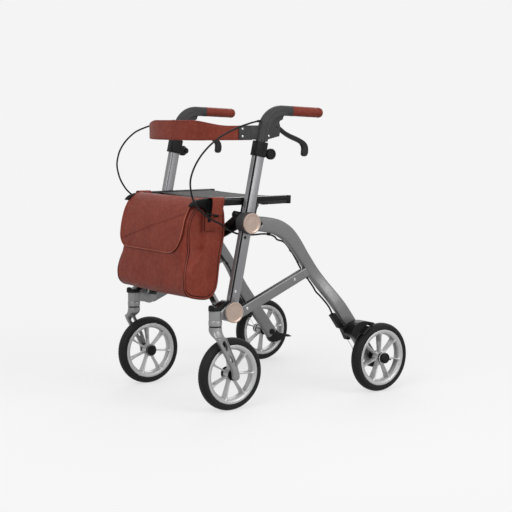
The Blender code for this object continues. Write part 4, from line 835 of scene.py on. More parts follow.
class Stock(Enum):
    """The finishes that the walker is made in."""

    TUBE = Brushed("drawn_tube", linear(136, 136, 138), 0.34, 0.6, 0.00002, mottle=0.06, turn=-LEAN)
    LEG = Finish("leg_grey", linear(120, 120, 121), 0.32, 0.55, 0.00001, 0.0004, 0.03)
    CAST = Finish("cast_metal", linear(140, 140, 141), 0.36, 0.6, 0.00005, 0.0012, 0.06)
    RIM = Finish("painted_rim", linear(185, 185, 186), 0.36, 0.45, 0.00001, 0.0006, 0.04)
    ROSE = Finish("rose_metal", linear(178, 158, 146), 0.27, 0.6, 0.000002, 0.0005, 0.003, 0.1)
    STEEL = Finish("bright_steel", linear(186, 186, 188), 0.24, 1.0, 0.00001, 0.0008, 0.05)
    CHARCOAL = Finish("charcoal_moulding", linear(62, 62, 63), 0.5, 0.0, 0.00005, 0.0006, 0.06)
    BLACK = Finish("black_moulding", linear(15, 15, 16), 0.42, 0.0, 0.00004, 0.0007, 0.1)
    GLOSS = Finish("gloss_black", linear(16, 16, 17), 0.2, 0.0, 0.00001, 0.001, 0.1, 0.1)
    BAR = Finish("bar_paint", linear(32, 32, 33), 0.32, 0.1, 0.00002, 0.0006, 0.08, 0.1)
    SHEATH = Finish("cable_sheath", linear(22, 22, 23), 0.38, 0.0, 0.00002, 0.001, 0.06)
    TYRE = Rubber("tread_rubber", linear(30, 30, 31), 0.66)
    HIDE = Hide("brown_leather", linear(130, 58, 45), 0.48, shade=linear(102, 39, 29), rubbed=linear(150, 86, 70))
    # Dark leather of the piping, also used for painted shadow lines under the flap's edge and below its diagonal
    # seam.
    PIPING = Hide("dark_piping", linear(58, 24, 19), 0.5, shade=linear(40, 16, 12), rubbed=linear(76, 36, 30))
    # Lighter leather on the flap's rolled edge: a painted highlight along that edge.
    EDGE = Hide("pale_edge", linear(166, 92, 74), 0.46, shade=linear(140, 68, 52), rubbed=linear(184, 116, 98))
    THREAD = Finish("thread", linear(104, 52, 42), 0.7, 0.0, 0.00006, 0.0004, 0.1)
    SEWING = Finish("seat_thread", linear(62, 60, 60), 0.7, 0.0, 0.00006, 0.0004, 0.1)
    # light is the painted highlight on the threads' tops, and also the random lighter tone.
    CLOTH = Weave("seat_weave", linear(48, 46, 46), 0.72, light=linear(86, 84, 84))
    LINING = Finish("bag_lining", linear(12, 12, 13), 0.75, 0.0, 0.0002, 0.012, 0.2, 0.0)

    @property
    def material(self) -> bpy.types.Material:
        """The finish's material."""
        return self.value.make()


# Repeats


class Repeat(Tree):
    """Geometry Nodes that copy a small part to places, along a path or round a ring."""

    def __init__(self, name: str) -> None:
        """Start a tree with a geometry input and output.

        Args:
            name: The tree's name.
        """
        tree = bpy.data.node_groups.new(name, "GeometryNodeTree")
        for label, kind in (("Geometry", "Geometry"), ("Part", "Object"), ("Finish", "Material"),
                ("Spacing", "Float")):
            tree.interface.new_socket(label, in_out="INPUT", socket_type=f"NodeSocket{kind}")
        tree.interface.new_socket("Geometry", in_out="OUTPUT", socket_type="NodeSocketGeometry")
        super().__init__(tree)
        self.start = self.add("NodeGroupInput")

    def end(self, points: Socket, turn: Socket) -> bpy.types.NodeTree:
        """Put a copy on each point and close the tree.

        Args:
            points: The points.
            turn: The copies' rotation.

        Returns:
            The finished tree.
        """
        part = self.add("GeometryNodeObjectInfo", Object=self.start.outputs["Part"])
        copies = self.add("GeometryNodeInstanceOnPoints", Points=points, Instance=part.outputs["Geometry"],
            Rotation=turn)
        real = self.add("GeometryNodeRealizeInstances", Geometry=copies.outputs["Instances"])
        dressed = self.add("GeometryNodeSetMaterial", Geometry=real.outputs["Geometry"],
            Material=self.start.outputs["Finish"])
        self.add("NodeGroupOutput", Geometry=dressed.outputs["Geometry"])
        return self.tree

    @staticmethod
    def at_places() -> bpy.types.NodeTree:
        """Tree that puts copies on vertices, turned to their own direction."""
        known = bpy.data.node_groups.get("copies_at_places")
        if known:
            return known
        work = Repeat("copies_at_places")
        way = work.add("GeometryNodeInputNamedAttribute", {"data_type": "FLOAT_VECTOR"}, Name="way")
        turn = work.add("FunctionNodeAlignRotationToVector", {"axis": "Z"}, Vector=way.outputs["Attribute"])
        points = work.add("GeometryNodeMeshToPoints", Mesh=work.start.outputs["Geometry"])
        return work.end(points.outputs["Points"], turn.outputs["Rotation"])

    @staticmethod
    def along_path() -> bpy.types.NodeTree:
        """Tree that puts copies at even steps along a line, pointing along it."""
        known = bpy.data.node_groups.get("copies_along_path")
        if known:
            return known
        work = Repeat("copies_along_path")
        line = work.add("GeometryNodeMeshToCurve", Mesh=work.start.outputs["Geometry"])
        even = work.add("GeometryNodeResampleCurve", {"mode": "LENGTH"}, Curve=line.outputs["Curve"],
            Length=work.start.outputs["Spacing"])
        points = work.add("GeometryNodeCurveToPoints", {"mode": "EVALUATED"}, Curve=even.outputs["Curve"])
        turn = work.add("FunctionNodeAlignRotationToVector", {"axis": "X"}, Vector=points.outputs["Tangent"])
        return work.end(points.outputs["Points"], turn.outputs["Rotation"])

    @staticmethod
    def run(name: str, tree: bpy.types.NodeTree, base: Solid, part: Solid, stock: Stock,
            spacing: float = 0.0) -> Solid:
        """Run a tree on a base mesh and turn the result into a plain mesh.

        Args:
            name: Name of the result.
            tree: The tree.
            base: Mesh with the places or the line.
            part: The part that is copied. It is removed afterwards.
            stock: The copies' finish.
            spacing: Distance between copies along a line.

        Returns:
            The copies as one object.
        """
        step = base.modifiers.new("repeat", "NODES")
        step.node_group = tree
        named = {"Part": part, "Finish": stock.material, "Spacing": spacing}
        for item in tree.interface.items_tree:
            if item.in_out == "INPUT" and item.name in named:
                step[item.identifier] = named[item.name]
        baked(base)
        base.name = name
        bpy.data.objects.remove(part)
        return base


def copies_at(name: str, part: Solid, places: Sequence[Sequence[float]], ways: Sequence[Sequence[float]],
        stock: Stock) -> Solid:
    """Copies of a part, drawn along +Z at the origin, at places that face given ways."""
    base = mesh_of(name, places, [], False)
    way = base.data.attributes.new("way", "FLOAT_VECTOR", "POINT")
    for item, value in zip(way.data, ways):
        item.vector = value
    return Repeat.run(name, Repeat.at_places(), base, part, stock)


def stitches(name: str, lines: Sequence[Sequence[Vector]], spacing: float = 0.0042, length: float = 0.0029,
        radius: float = 0.00042, stock: Stock = Stock.THREAD) -> Solid:
    """Row of stitches along each line.

    Args:
        name: Name of the result.
        lines: The lines that are sewn.
        spacing: Distance between stitches.
        length: Length of one stitch.
        radius: The thread's radius.
        stock: The thread's finish.

    Returns:
        The stitches as one object.
    """
    vertices = [point for line in lines for point in line]
    mesh = bpy.data.meshes.new(name)
    edges = []
    first = 0
    for line in lines:
        edges += [(first + i, first + i + 1) for i in range(len(line) - 1)]
        first += len(line)
    mesh.from_pydata([tuple(v) for v in vertices], edges, [])
    half = length / 2
    profile = [(0, -half), (radius * 0.7, -half * 0.8), (radius, -half * 0.3), (radius, half * 0.3),
        (radius * 0.7, half * 0.8), (0, half)]
    part = revolve("stitch", profile, axes(AXIS_Y, AXIS_Z, AXIS_X), 6)
    return Repeat.run(name, Repeat.along_path(), linked(name, mesh), part, stock, spacing)


def screw_head(radius: float, height: float) -> Solid:
    """Domed screw head along +Z with a hexagonal socket."""
    profile = [(0, -height * 0.5), (radius, -height * 0.5), (radius, height * 0.25), (radius * 0.86, height * 0.75),
        (radius * 0.55, height), (0, height)]
    head = revolve("head", profile, Matrix.Identity(4), 24)
    return cut(head, prism("socket", circle(radius * 0.42, steps=6), height * 0.35, height * 2, Matrix.Identity(4)))


def notched(body: Solid, cutter: Solid, radius: float, height: float, count: int, place: Matrix) -> Solid:
    """Cut copies of a cutter out of a body, evenly round a ring.

    Args:
        body: The body.
        cutter: The cutter, drawn along +Z at the origin.
        radius: The ring's radius.
        height: Where the ring lies along the third axis.
        count: How many notches there are.
        place: The axes of the ring.

    Returns:
        The body.
    """
    places = [(a, b, height) for a, b in circle(radius, steps=count)]
    cutters = copies_at("cutters", cutter, places, [AXIS_Z] * count, Stock.BLACK)
    cutters.data.transform(place)
    return cut(body, cutters)


class Kit:
    """Collects finished pieces, moves them into the frame's place, hangs them on the frame's bodies and hides the
    nodes they stand for.
    """

    def __init__(self, frame: dict) -> None:
        """Work out where the drawing lies in the frame.

        Args:
            frame: What the frame's load call returned.
        """
        self.frame = frame
        low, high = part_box("rear_tyre_left")
        self.shift = (Vector(low) + Vector(high)) / 2 - REAR_WHEEL
        self.made: list[Solid] = []

    def add(self, obj: Solid, name: str, stock: Stock | None, body: str, slot: str, *nodes: str,
            smooth: float = 32) -> Solid:
        """Finish a piece.

        Args:
            obj: The piece, drawn in the drawing's frame.
            name: Its name.
            stock: Its finish, or none where it has its materials already.
            body: The body that it rides on.
            slot: The record's finish slot. Not used.
            nodes: The nodes that it stands for.
            smooth: Edges sharper than this, in degrees, stay sharp.

        Returns:
            The piece.
        """
        obj.name = name
        obj.data.name = name
        if stock is not None:
            painted(obj, stock)
        obj.data.transform(Matrix.Translation(self.shift))
        obj.data.shade_smooth()
        obj.data.set_sharp_from_angle(angle=math.radians(smooth))
        if body:
            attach(obj, body)
        if nodes:
            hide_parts(*nodes)
        self.made.append(obj)
        LOG.info("%s: %d faces, on %s", name, len(obj.data.polygons), body or "a blend")
        return obj

    def pair(self, obj: Solid, name: str, stock: Stock | None, body: str, slot: str, *nodes: str,
            smooth: float = 32) -> None:
        """Finish a left piece and its mirror image.

        Args:
            obj: The left piece.
            name: Its name without the side.
            stock: Its finish.
            body: The body's name without the side.
            slot: The record's finish slot.
            nodes: The nodes' names without the side.
            smooth: Edges sharper than this, in degrees, stay sharp.
        """
        other = mirrored(name, obj)
        for side, made in ((Side.LEFT, obj), (Side.RIGHT, other)):
            self.add(made, f"{name}_{side.label}", stock, f"{body}_{side.label}", slot,
                *[f"{node}_{side.label}" for node in nodes], smooth=smooth)


# Wheels and casters


@dataclass
class Wheel:
    """Tyre, spoked rim and hub of one wheel, drawn about its centre."""

    centre: Vector
    name: str
    turns: tuple[float, float] = (0.0, 0.0)
    rim_half: float = 0.015
    lip: float = 0.0138
    wall: float = 0.001
    spokes: int = 7
    hub_radius: float = 0.015
    sipes: int = 72

    @property
    def place(self) -> Matrix:
        """Axes of the wheel, with the third along its axle."""
        return about_x(self.centre)

    def tyre(self) -> Solid:
        """Tyre with a round crown and short sipes across its shoulders."""
        half = TYRE_WIDTH / 2
        seat = RIM_RADIUS + 0.0001
        shoulder = [(0.001, half - 0.0012), (0.004, half - 0.0001), (0.0085, half), (0.0118, half - 0.0008),
            (0.0132, half - 0.0022), (0.014, half - 0.0034), (0.0158, half - 0.0056), (0.0171, half - 0.0082),
            (0.018, half - 0.0112)]
        profile = [(seat + depth, -height) for depth, height in shoulder]
        profile += [(WHEEL_RADIUS, -0.0022), (WHEEL_RADIUS, 0.0022)]
        profile += [(seat + depth, height) for depth, height in reversed(shoulder)]
        grooved = {6, 7, len(profile) - 7, len(profile) - 8}
        step_share = 4
        steps = self.sipes * step_share
        rings = []
        for i in range(steps):
            turn = 2 * math.pi * i / steps
            ring = []
            for j, (radius, height) in enumerate(profile):
                depth = 0.0006 if j in grooved and i % step_share == 0 else 0.0
                flat = radius - depth
                ring.append(self.place @ Vector((flat * math.cos(turn), flat * math.sin(turn), height)))
            rings.append(ring)
        return loft("tyre", rings, around=True)

    def spoke(self, turn: float) -> Solid:
        """One blade, deep along the axle, that flares into the rim and the hub."""
        inner = self.hub_radius - 0.002
        outer = RIM_RADIUS - 0.0092
        stations = ((0.0, 0.0046, 0.0086), (0.06, 0.0032, 0.0086), (0.16, 0.002, 0.0089), (0.32, 0.0014, 0.0096),
            (0.62, 0.0014, 0.0111), (0.82, 0.0019, 0.0122), (0.91, 0.003, 0.0128), (0.96, 0.0042, 0.0134),
            (1.0, 0.0056, 0.0141))
        spin = Matrix.Rotation(turn, 4, AXIS_Z)
        rings = []
        for share, half_thick, half_deep in stations:
            radius = inner + (outer - inner) * share
            edge = min(half_thick * 0.45, 0.0007)
            section = [(-half_thick, -half_deep + 0.0012), (-edge, -half_deep), (edge, -half_deep),
                (half_thick, -half_deep + 0.0012), (half_thick, half_deep - 0.0012), (edge, half_deep),
                (-edge, half_deep), (-half_thick, half_deep - 0.0012)]
            rings.append([self.place @ spin @ Vector((radius, side, height)) for side, height in section])
        return loft("spoke", rings)

    def rim(self, turn: float) -> Solid:
        """Rim with a broad dished lip, a barrel, blades and a bored hub.

        Args:
            turn: Turn of the blades in degrees.

        Returns:
            The rim.
        """
        half = self.rim_half
        inner = RIM_RADIUS - self.lip
        lip = [(0.0, half - 0.0006), (0.0008, half), (0.003, half + 0.0004), (0.0056, half + 0.0001),
            (0.006, half - 0.0003), (0.0064, half - 0.0001), (0.0086, half - 0.0012), (0.0106, half - 0.0028),
            (0.0122, half - 0.0046), (0.0132, half - 0.0062), (self.lip, half - 0.008)]
        outer_side = [(RIM_RADIUS - depth, height) for depth, height in lip]
        inner_side = [(radius, -height) for radius, height in reversed(outer_side)]
        ring = revolve("rim", outer_side + [(inner - self.wall, 0.0)] + inner_side, self.place, 128)
        barrel = revolve("hub", [(0.0, -0.015), (self.hub_radius - 0.001, -0.015), (self.hub_radius, -0.014),
            (self.hub_radius + 0.0006, 0.0), (self.hub_radius, 0.014), (self.hub_radius - 0.001, 0.015),
            (0.0, 0.015)], self.place, 56)
        first = math.pi / 2 + math.radians(turn)
        blades = [self.spoke(2 * math.pi * i / self.spokes + first) for i in range(self.spokes)]
        fused(ring, barrel, *blades)
        cut(ring, rod("bore", AXLE_BORE, -0.05, 0.05, self.place), rod("seat", 0.0118, 0.0126, 0.05, self.place),
            rod("seat", 0.0118, -0.05, -0.0126, self.place))
        return eased(ring, 0.0005, 2, 40)

    def seals(self) -> Solid:
        """Dark toothed rings round the bearing on both faces of the hub."""
        parts = []
        for side in (1, -1):
            low, high = sorted((side * 0.012, side * 0.0163))
            face = side * 0.0163
            body = revolve("seal", [(0.0056, low), (0.016, low), (0.016, high), (0.0056, high)], self.place, 64)
            notch = rod("notch", 0.0013, -0.0016, 0.0016, Matrix.Identity(4))
            parts.append(painted(notched(body, notch, 0.0158, face, 14, self.place), Stock.BLACK))
        return grouped("seals", parts)

    def add(self, kit: Kit) -> None:
        """Build the wheel on both sides."""
        body = f"{self.name}_wheel"
        kit.pair(self.tyre(), f"tyre_of_{self.name}_wheel", Stock.TYRE, body, "tyre_rubber", f"{self.name}_tyre",
            smooth=28)
        for side, turn in zip(Side, self.turns):
            rim = self.rim(turn)
            if side is Side.RIGHT:
                left, rim = rim, mirrored("rim", rim)
                bpy.data.objects.remove(left)
            kit.add(rim, f"rim_of_{self.name}_wheel_{side.label}", Stock.RIM, f"{body}_{side.label}", "rim_silver",
                f"{self.name}_rim_{side.label}")
        kit.pair(self.seals(), f"hub_seals_of_{self.name}_wheel", None, body, "plastic_black")


@dataclass
class RearAxle:
    """Fixed rear axle with its inner head, spacer and outer hub cap."""

    leg_in: float = 0.2287
    leg_out: float = 0.2513
    hub_in: float = 0.267
    hub_out: float = 0.301
    cap_radius: float = 0.0152
    cap_length: float = 0.015

    def add(self, kit: Kit) -> None:
        """Build the axle on both sides."""
        place = about_x((0, REAR_WHEEL.y, REAR_WHEEL.z))
        shaft = revolve("axle", [(0, self.leg_in - 0.005), (0.0074, self.leg_in - 0.005),
            (0.009, self.leg_in - 0.0036), (0.009, self.leg_in), (0.005, self.leg_in), (0.005, self.leg_out),
            (0.0112, self.leg_out), (0.0112, self.leg_out + 0.006), (0.009, self.leg_out + 0.0075),
            (0.009, self.hub_in), (0.005, self.hub_in), (0.005, self.hub_out), (0, self.hub_out)], place, 40)
        end = self.hub_out + self.cap_length
        cap = revolve("cap", [(0.0, self.hub_out), (self.cap_radius - 0.0006, self.hub_out),
            (self.cap_radius, self.hub_out + 0.001), (self.cap_radius, end - 0.0042),
            (self.cap_radius - 0.0008, end - 0.0022), (self.cap_radius - 0.0026, end - 0.0008),
            (self.cap_radius - 0.0048, end - 0.0004), (self.cap_radius - 0.0054, end - 0.0012), (0.006, end - 0.0014),
            (0.0, end - 0.001)], place, 64)
        collar = revolve("ring", [(0.012, self.hub_out - 0.0004), (0.016, self.hub_out - 0.0004),
            (0.0164, self.hub_out + 0.0004), (0.0164, self.hub_out + 0.003), (0.0158, self.hub_out + 0.0036),
            (0.012, self.hub_out + 0.0036)], place, 64)
        painted(shaft, Stock.BLACK)
        painted(cap, Stock.BLACK)
        kit.pair(grouped("axle", [shaft, cap]), "rear_axle_and_cap", None, "frame", "plastic_black", "rear_axle")
        kit.pair(collar, "rear_axle_ring", Stock.STEEL, "frame", "steel")


@dataclass
class Caster:
    """Front fork with its crown, stem and axle."""

    arm_x: tuple[float, float] = (0.2325, 0.2455)
    crown_z: tuple[float, float] = (0.218, 0.2369)
    end_radius: float = 0.0105
    end_drop: float = 0.0035
    cap_radius: float = 0.018
    front: tuple[Flat, ...] = tuple(rows(2, -3035, 2090, -3000, 1975, -2908, 1800, -2800, 1620, -2715, 1475,
        -2630, 1325, -2560, 1185, -2522, 1060))
    back: tuple[Flat, ...] = tuple(rows(2, -2305, 990, -2327, 1074, -2383, 1278, -2446, 1457, -2556, 1680,
        -2650, 1900, -2736, 2090))
    windows: tuple[tuple[Flat, ...], ...] = (rows(2, -2807, 2008, -2866, 1927, -2807, 1827, -2722, 1700, -2690, 1760,
        -2721, 1882), rows(2, -2635, 1585, -2651, 1535, -2589, 1409, -2533, 1370, -2510, 1399, -2573, 1525))
    recess: tuple[Flat, ...] = tuple(rows(2, -2905, 2085, -2900, 1960, -2868, 1830, -2740, 1640, -2620, 1400,
        -2535, 1240, -2445, 1280, -2500, 1480, -2600, 1700, -2690, 1900, -2765, 2085))

    @property
    def eye(self) -> Flat:
        """The axle's place in the side view."""
        return (FRONT_WHEEL.y, FRONT_WHEEL.z)

    def neck(self) -> Solid:
        """Crown under the head that sweeps outwards into the arm."""
        stations = rows(5, 2344, 2120, -2890, 168, 168, 2337, 2120, -2890, 175, 175, 2270, 2120, -2890, 175, 175,
            2215, 2135, -2890, 172, 170, 2160, 2180, -2892, 158, 164, 2105, 2250, -2890, 130, 158,
            2050, 2325, -2878, 95, 152, 1990, 2380, -2858, 68, 146, 1930, 2392, -2832, 60, 138)
        rings = []
        for i, (z, x, y, half_x, half_y) in enumerate(stations):
            power = 1.0 - 0.45 * i / (len(stations) - 1)
            rings.append([Vector((x + a, y + b, z)) for a, b in oval(half_x, half_y, power, 48)])
        return loft("neck", rings)

    def fork(self) -> Solid:
        """Cast arm with a recessed face, two openings, a crown and a stem."""
        low, high = self.arm_x
        outline = smooth_edge(self.front, 0.005)
        outline += arc(self.end_radius, (self.eye[0], self.eye[1] - self.end_drop), 185, 355, 18)
        outline += smooth_edge(self.back, 0.005)
        arm = slab("arm", outline, low, high, 0.0034, 5, 50)
        fused(arm, self.neck(), rod("stem", 0.006, self.crown_z[0] + 0.004, 0.277, STEERING))
        deep = slab("recess", smooth_outline(self.recess, 0.003), high - 0.0026, 0.3, 0.0008, 2, 60)
        openings = [prism("window", smooth_outline(window, 0.0018), 0.22, 0.3) for window in self.windows]
        cut(arm, deep, *openings, prism("bore", circle(AXLE_BORE, self.eye), 0.2, high - 0.003))
        return eased(arm, 0.0006, 2, 40)

    def seal(self) -> Solid:
        """Black ring that fills the gap between the crown and the steering head, a painted shadow of that gap."""
        profile = [(0.0055, 0.234), (0.0164, 0.234), (0.0168, 0.2344), (0.0168, self.crown_z[1]),
            (0.0055, self.crown_z[1])]
        return revolve("seal", profile, STEERING, 64)

    def axle(self) -> Solid:
        """Axle bolt with its spacer and its black inner cap."""
        place = about_x((0, FRONT_WHEEL.y, FRONT_WHEEL.z))
        hub_in = FRONT_WHEEL.x - TYRE_WIDTH / 2 - 0.0005
        hub_out = FRONT_WHEEL.x + TYRE_WIDTH / 2 + 0.0005
        low, end = self.arm_x[0] - 0.0003, self.arm_x[1] - 0.0033
        bolt = revolve("axle", [(0, hub_in - 0.0005), (0.005, hub_in - 0.0005), (0.005, hub_out), (0.0118, hub_out),
            (0.0118, hub_out + 0.0012), (0.0094, hub_out + 0.0016), (0.0094, low), (0.005, low), (0.005, end),
            (0, end)], place, 48)
        cap = revolve("cap", [(0, hub_in), (self.cap_radius - 0.0006, hub_in), (self.cap_radius, hub_in - 0.0006),
            (self.cap_radius - 0.0006, hub_in - 0.0014), (0.0158, hub_in - 0.0016), (0.0156, hub_in - 0.0034),
            (0.0146, hub_in - 0.0042), (0.0, hub_in - 0.0044)], place, 64)
        ring = revolve("ring", [(0.015, hub_in - 0.0012), (0.0168, hub_in - 0.0012), (0.0168, hub_in - 0.0022),
            (0.015, hub_in - 0.0022)], place, 64)
        return grouped("axle", [painted(bolt, Stock.BLACK), painted(cap, Stock.BLACK), painted(ring, Stock.STEEL)])

    def add(self, kit: Kit) -> None:
        """Build the caster on both sides."""
        kit.pair(self.fork(), "caster_fork", Stock.CAST, "caster", "cast_silver", "fork")
        kit.pair(self.axle(), "front_axle_and_cap", None, "caster", "steel", "front_axle")
        # Painted shadow: a black ring fills the gap under the steering head.
        kit.pair(self.seal(), "crown_seal", Stock.BLACK, "caster", "plastic_black")


# Side frames


@dataclass
class SideFrame:
    """Upright, rear leg and lower rail of one side with their joints."""

    upright_half: Flat = (0.01, 0.015)
    upright_z: Flat = (0.264, 0.712)
    groove: float = 0.0034
    upper: Vector = field(default_factory=lambda: Vector((0.211, -0.1838, 0.5094)))
    lower: Vector = field(default_factory=lambda: Vector((0.211, -0.2422, 0.272)))
    cap_radius: float = 0.0285
    cap_x: Flat = (0.2328, 0.2388)
    leg_width: float = 0.022
    leg_stations: tuple[tuple[float, float, float, float],
        ...] = tuple(rows(4, 2110, -1720, 5065, 400, 2110, -1400, 5040, 410, 2110, -1050, 4985, 430,
        2110, -740, 4890, 440, 2110, -440, 4710, 430, 2110, -180, 4440, 400, 2110, 100, 4070, 360,
        2110, 400, 3672, 350, 2140, 600, 3407, 350, 2210, 800, 3142, 350, 2300, 1000, 2876, 365,
        2370, 1200, 2610, 385, 2400, 1450, 2278, 395, 2400, 2470, 920, 395))

    def upright(self) -> Solid:
        """Rectangular tube with its corner groove."""
        a, b = self.upright_half
        g = self.groove
        section = arc(0.0022, (-a + 0.0022, -b + 0.0022), 180, 270, 4)
        section += [(a - g - 0.0016, -b), (a - g - 0.0008, -b + 0.0004), (a - g - 0.0006, -b + g * 0.7),
            (a - g * 0.6, -b + g + 0.0006), (a - 0.0004, -b + g + 0.0008), (a, -b + g + 0.0016)]
        section += arc(0.0022, (a - 0.0022, b - 0.0022), 0, 90, 4)
        section += arc(0.0022, (-a + 0.0022, b - 0.0022), 90, 180, 4)
        low, high = (up_upright(z) for z in self.upright_z)
        body = prism("upright", section, low, high, ACROSS_UPRIGHT)
        bore = prism("bore", round_box(a - 0.003, b - 0.003, 0.001, 2), -1, 1, ACROSS_UPRIGHT)
        return eased(cut(body, bore), 0.0003, 2, 60)

    def upright_strip(self) -> Solid:
        """Black strips in the upright's corner groove and on a band of its inner face: painted shade that darkens
        them.
        """
        a, b = self.upright_half
        g = self.groove
        corners = [(a - g - 0.0006, -b + 0.001), (a - g + 0.0004, -b + 0.001), (a - g * 0.6, -b + g - 0.0003),
            (a - 0.0012, -b + g - 0.0003), (a - 0.0012, -b + g + 0.0012), (a - g - 0.0006, -b + g + 0.0012)]
        low, high = (up_upright(z) for z in self.upright_z)
        inner = [(-a - 0.0002, -b + 0.005), (-a + 0.0008, -b + 0.005), (-a + 0.0008, -b + 0.0066),
            (-a - 0.0002, -b + 0.0066)]
        return grouped("strips", [prism("strip", outline, low + 0.001, high - 0.001, ACROSS_UPRIGHT)
            for outline in (corners, inner)])

    def leg_rings(self) -> list[list[Vector]]:
        """Sections of the rear leg along a smooth centre line."""
        line = smooth_line([s[:3] for s in self.leg_stations], 0.006)
        spans = [Vector(s[:3]) for s in self.leg_stations]
        rings = []
        for i, point in enumerate(line):
            ahead = step_at(line, i)
            up = ahead.cross(AXIS_X).normalized()
            up = -up if up.z < 0 else up
            across = up.cross(ahead).normalized()
            across = -across if across.x < 0 else across
            near = min(range(len(spans) - 1), key=lambda k: abs((spans[k] + spans[k + 1] - 2 * point).length))
            span = spans[near + 1] - spans[near]
            share = held((point - spans[near]).dot(span) / span.length_squared)
            height = self.leg_stations[near][3] * (1 - share) + self.leg_stations[near + 1][3] * share
            rings.append([point + across * a + up * b for a, b in round_box(self.leg_width / 2, height / 2, 0.0068,
                6)])
        return rings

    def leg(self) -> Solid:
        """Bent leg, cut to the drum and bored for the axle and a screw."""
        leg = loft("leg", self.leg_rings())
        cut(leg, prism("drum", circle(0.0303, (self.upper.y, self.upper.z), 96), 0.1, 0.3),
            prism("axle", circle(AXLE_BORE, (REAR_WHEEL.y, REAR_WHEEL.z), 32), 0.1, 0.4),
            prism("screw", circle(0.0048, (-0.1418, 0.5052), 32), 0.2185, 0.3))
        return eased(leg, 0.0004, 2, 50)

    def leg_room(self) -> Solid:
        """Room for the leg in what it passes through."""
        return loft("leg", [[p + (p - sum(ring, Vector()) / len(ring)).normalized() * CLEARANCE for p in ring]
            for ring in self.leg_rings()])

    def rail(self) -> Solid:
        """Flat tube between the bracket and the leg."""
        start, end = Vector((-0.23, 0.2568)), Vector((0.045, 0.3683))
        ahead = (end - start).normalized()
        up = Vector((-ahead.y, ahead.x)) * 0.014
        low, high = 0.202, 0.22
        body = prism("rail", [tuple(p) for p in (start - up, end - up, end + up, start + up)], low, high)
        eased(body, 0.0032, 4, 50)
        cut(body, prism("drum", circle(0.0278, (self.lower.y, self.lower.z), 96), 0.1, 0.3), self.leg_room())
        return eased(body, 0.0003, 1, 50)

    def upper_hub(self) -> Solid:
        """Moulded drum with the seat rail's saddle and the fold link's cheek."""
        centre = (self.upper.y, self.upper.z)
        hub = revolve("hub", rows(2, 0, 1990, 262, 1990, 288, 2002, 300, 2030, 300, 2300, 292, 2318, 284, 2325,
            0, 2325), about_x((0, *centre)), 96)
        pivot = Scissor.flat(0.184, 0.508)
        low, high = 0.0189, 0.0239
        cheek_outline = [(0.2036, pivot[1] - 0.014), (0.2036, pivot[1] + 0.02)] + arc(0.01, pivot, 90, 270, 20)
        cheek = slab("cheek", cheek_outline, low, high, 0.001, 2, place=SCISSOR)
        saddle_outline = smooth_edge(rows(2, -1700, 5050, -1690, 5200, -1652, 5380, -1622, 5500, -1618, 5567), 0.004)
        rear = smooth_edge(rows(2, -1312, 5567, -1360, 5500, -1405, 5400, -1440, 5250, -1540, 5050), 0.004)
        saddle = slab("saddle", saddle_outline + rear, 0.185, 0.2, 0.0014, 3)
        fused(hub, cheek, saddle)
        cut(hub, self.upright_room(), prism("pin", circle(PIN_BORE, pivot), low - 0.01, high + 0.01, SCISSOR))
        return eased(hub, 0.0006, 2, 45)

    def upright_room(self) -> Solid:
        """Room for the upright in what it passes through."""
        a, b = self.upright_half
        return prism("room", [(-a - CLEARANCE, -b - CLEARANCE), (a + CLEARANCE, -b - CLEARANCE),
            (a + CLEARANCE, b + CLEARANCE), (-a - CLEARANCE, b + CLEARANCE)],
            up_upright(self.upright_z[0]) - CLEARANCE, 1, ACROSS_UPRIGHT)

    def lower_hub(self) -> Solid:
        """Cast bracket: drum, steering head with its ring, web and the scissor's fork."""
        centre = (self.lower.y, self.lower.z)
        drum = revolve("drum", rows(2, 0, 1960, 255, 1960, 275, 1980, 275, 2310, 262, 2325, 0, 2325),
            about_x((0, *centre)), 96)
        head = revolve("head", rows(2, 0, 2375, 172, 2375, 182, 2385, 182, 2508, 176, 2520, 169, 2528, 171, 2540,
            175, 2560, 175, 2782, 167, 2790, 0, 2790), STEERING, 96)
        web_outline = rows(2, -2890, 2788, -2890, 2560, -2780, 2540, -2660, 2520, -2500, 2490, -2300, 2900,
            -2480, 2982, -2600, 2935, -2795, 2790)
        web = slab("web", web_outline, 0.1985, 0.2275, 0.004, 4, 50)
        pivot = Scissor.flat(0.174, 0.283)
        room_half = 0.0135
        outer = room_half + 0.005
        lug_outline = [(0.2, pivot[1] - 0.0095), (0.2, pivot[1] + 0.0095)] + arc(0.0095, pivot, 90, 270, 20)
        lugs = prism("lugs", lug_outline, -outer, outer, SCISSOR)
        cut(lugs, prism("room", rows(2, 1000, -500, 1930, -500, 1930, 500, 1000, 500), -room_half, room_half,
            SCISSOR))
        fused(drum, web, head, eased(lugs, 0.0008, 2))
        cut(drum, self.upright_room(), rod("stem", 0.0063, 0, 0.278, STEERING),
            prism("pin", circle(PIN_BORE, pivot), -0.05, 0.05, SCISSOR))
        return eased(drum, 0.0008, 3, 40)

    def head_cover(self) -> Solid:
        """Glossy cover with a raised round cap over the steering head."""
        flat = rows(2, -3052, 2770, -3046, 2868, -2980, 2892, -2882, 2900, -2800, 2945, -2739, 2982, -2680, 3012,
            -2609, 3036, -2545, 3038, -2480, 3010, -2480, 2770)
        cover = prism("cover", flat, 0.2022, 0.2262)
        boss = revolve("boss", rows(2, 0, 2772, 174, 2772, 174, 2836, 160, 2848, 0, 2852), STEERING, 72)
        knob = revolve("knob", rows(2, 0, 2775, 78, 2775, 80, 2890, 74, 2918, 54, 2938, 28, 2947, 0, 2949),
            axes(AXIS_X, AXIS_Y, AXIS_Z, (FRONT_WHEEL.x + 0.002, -0.3032, 0)), 48)
        fused(cover, boss, knob)
        trim = prism("trim", rows(2, -3200, 2600, -2300, 2600, -2300, 2996, -2480, 2984, -2600, 2937, -2795, 2792,
            -3200, 2792), 0.15, 0.25)
        return eased(cut(cover, trim, self.upright_room()), 0.0012, 3, 45)

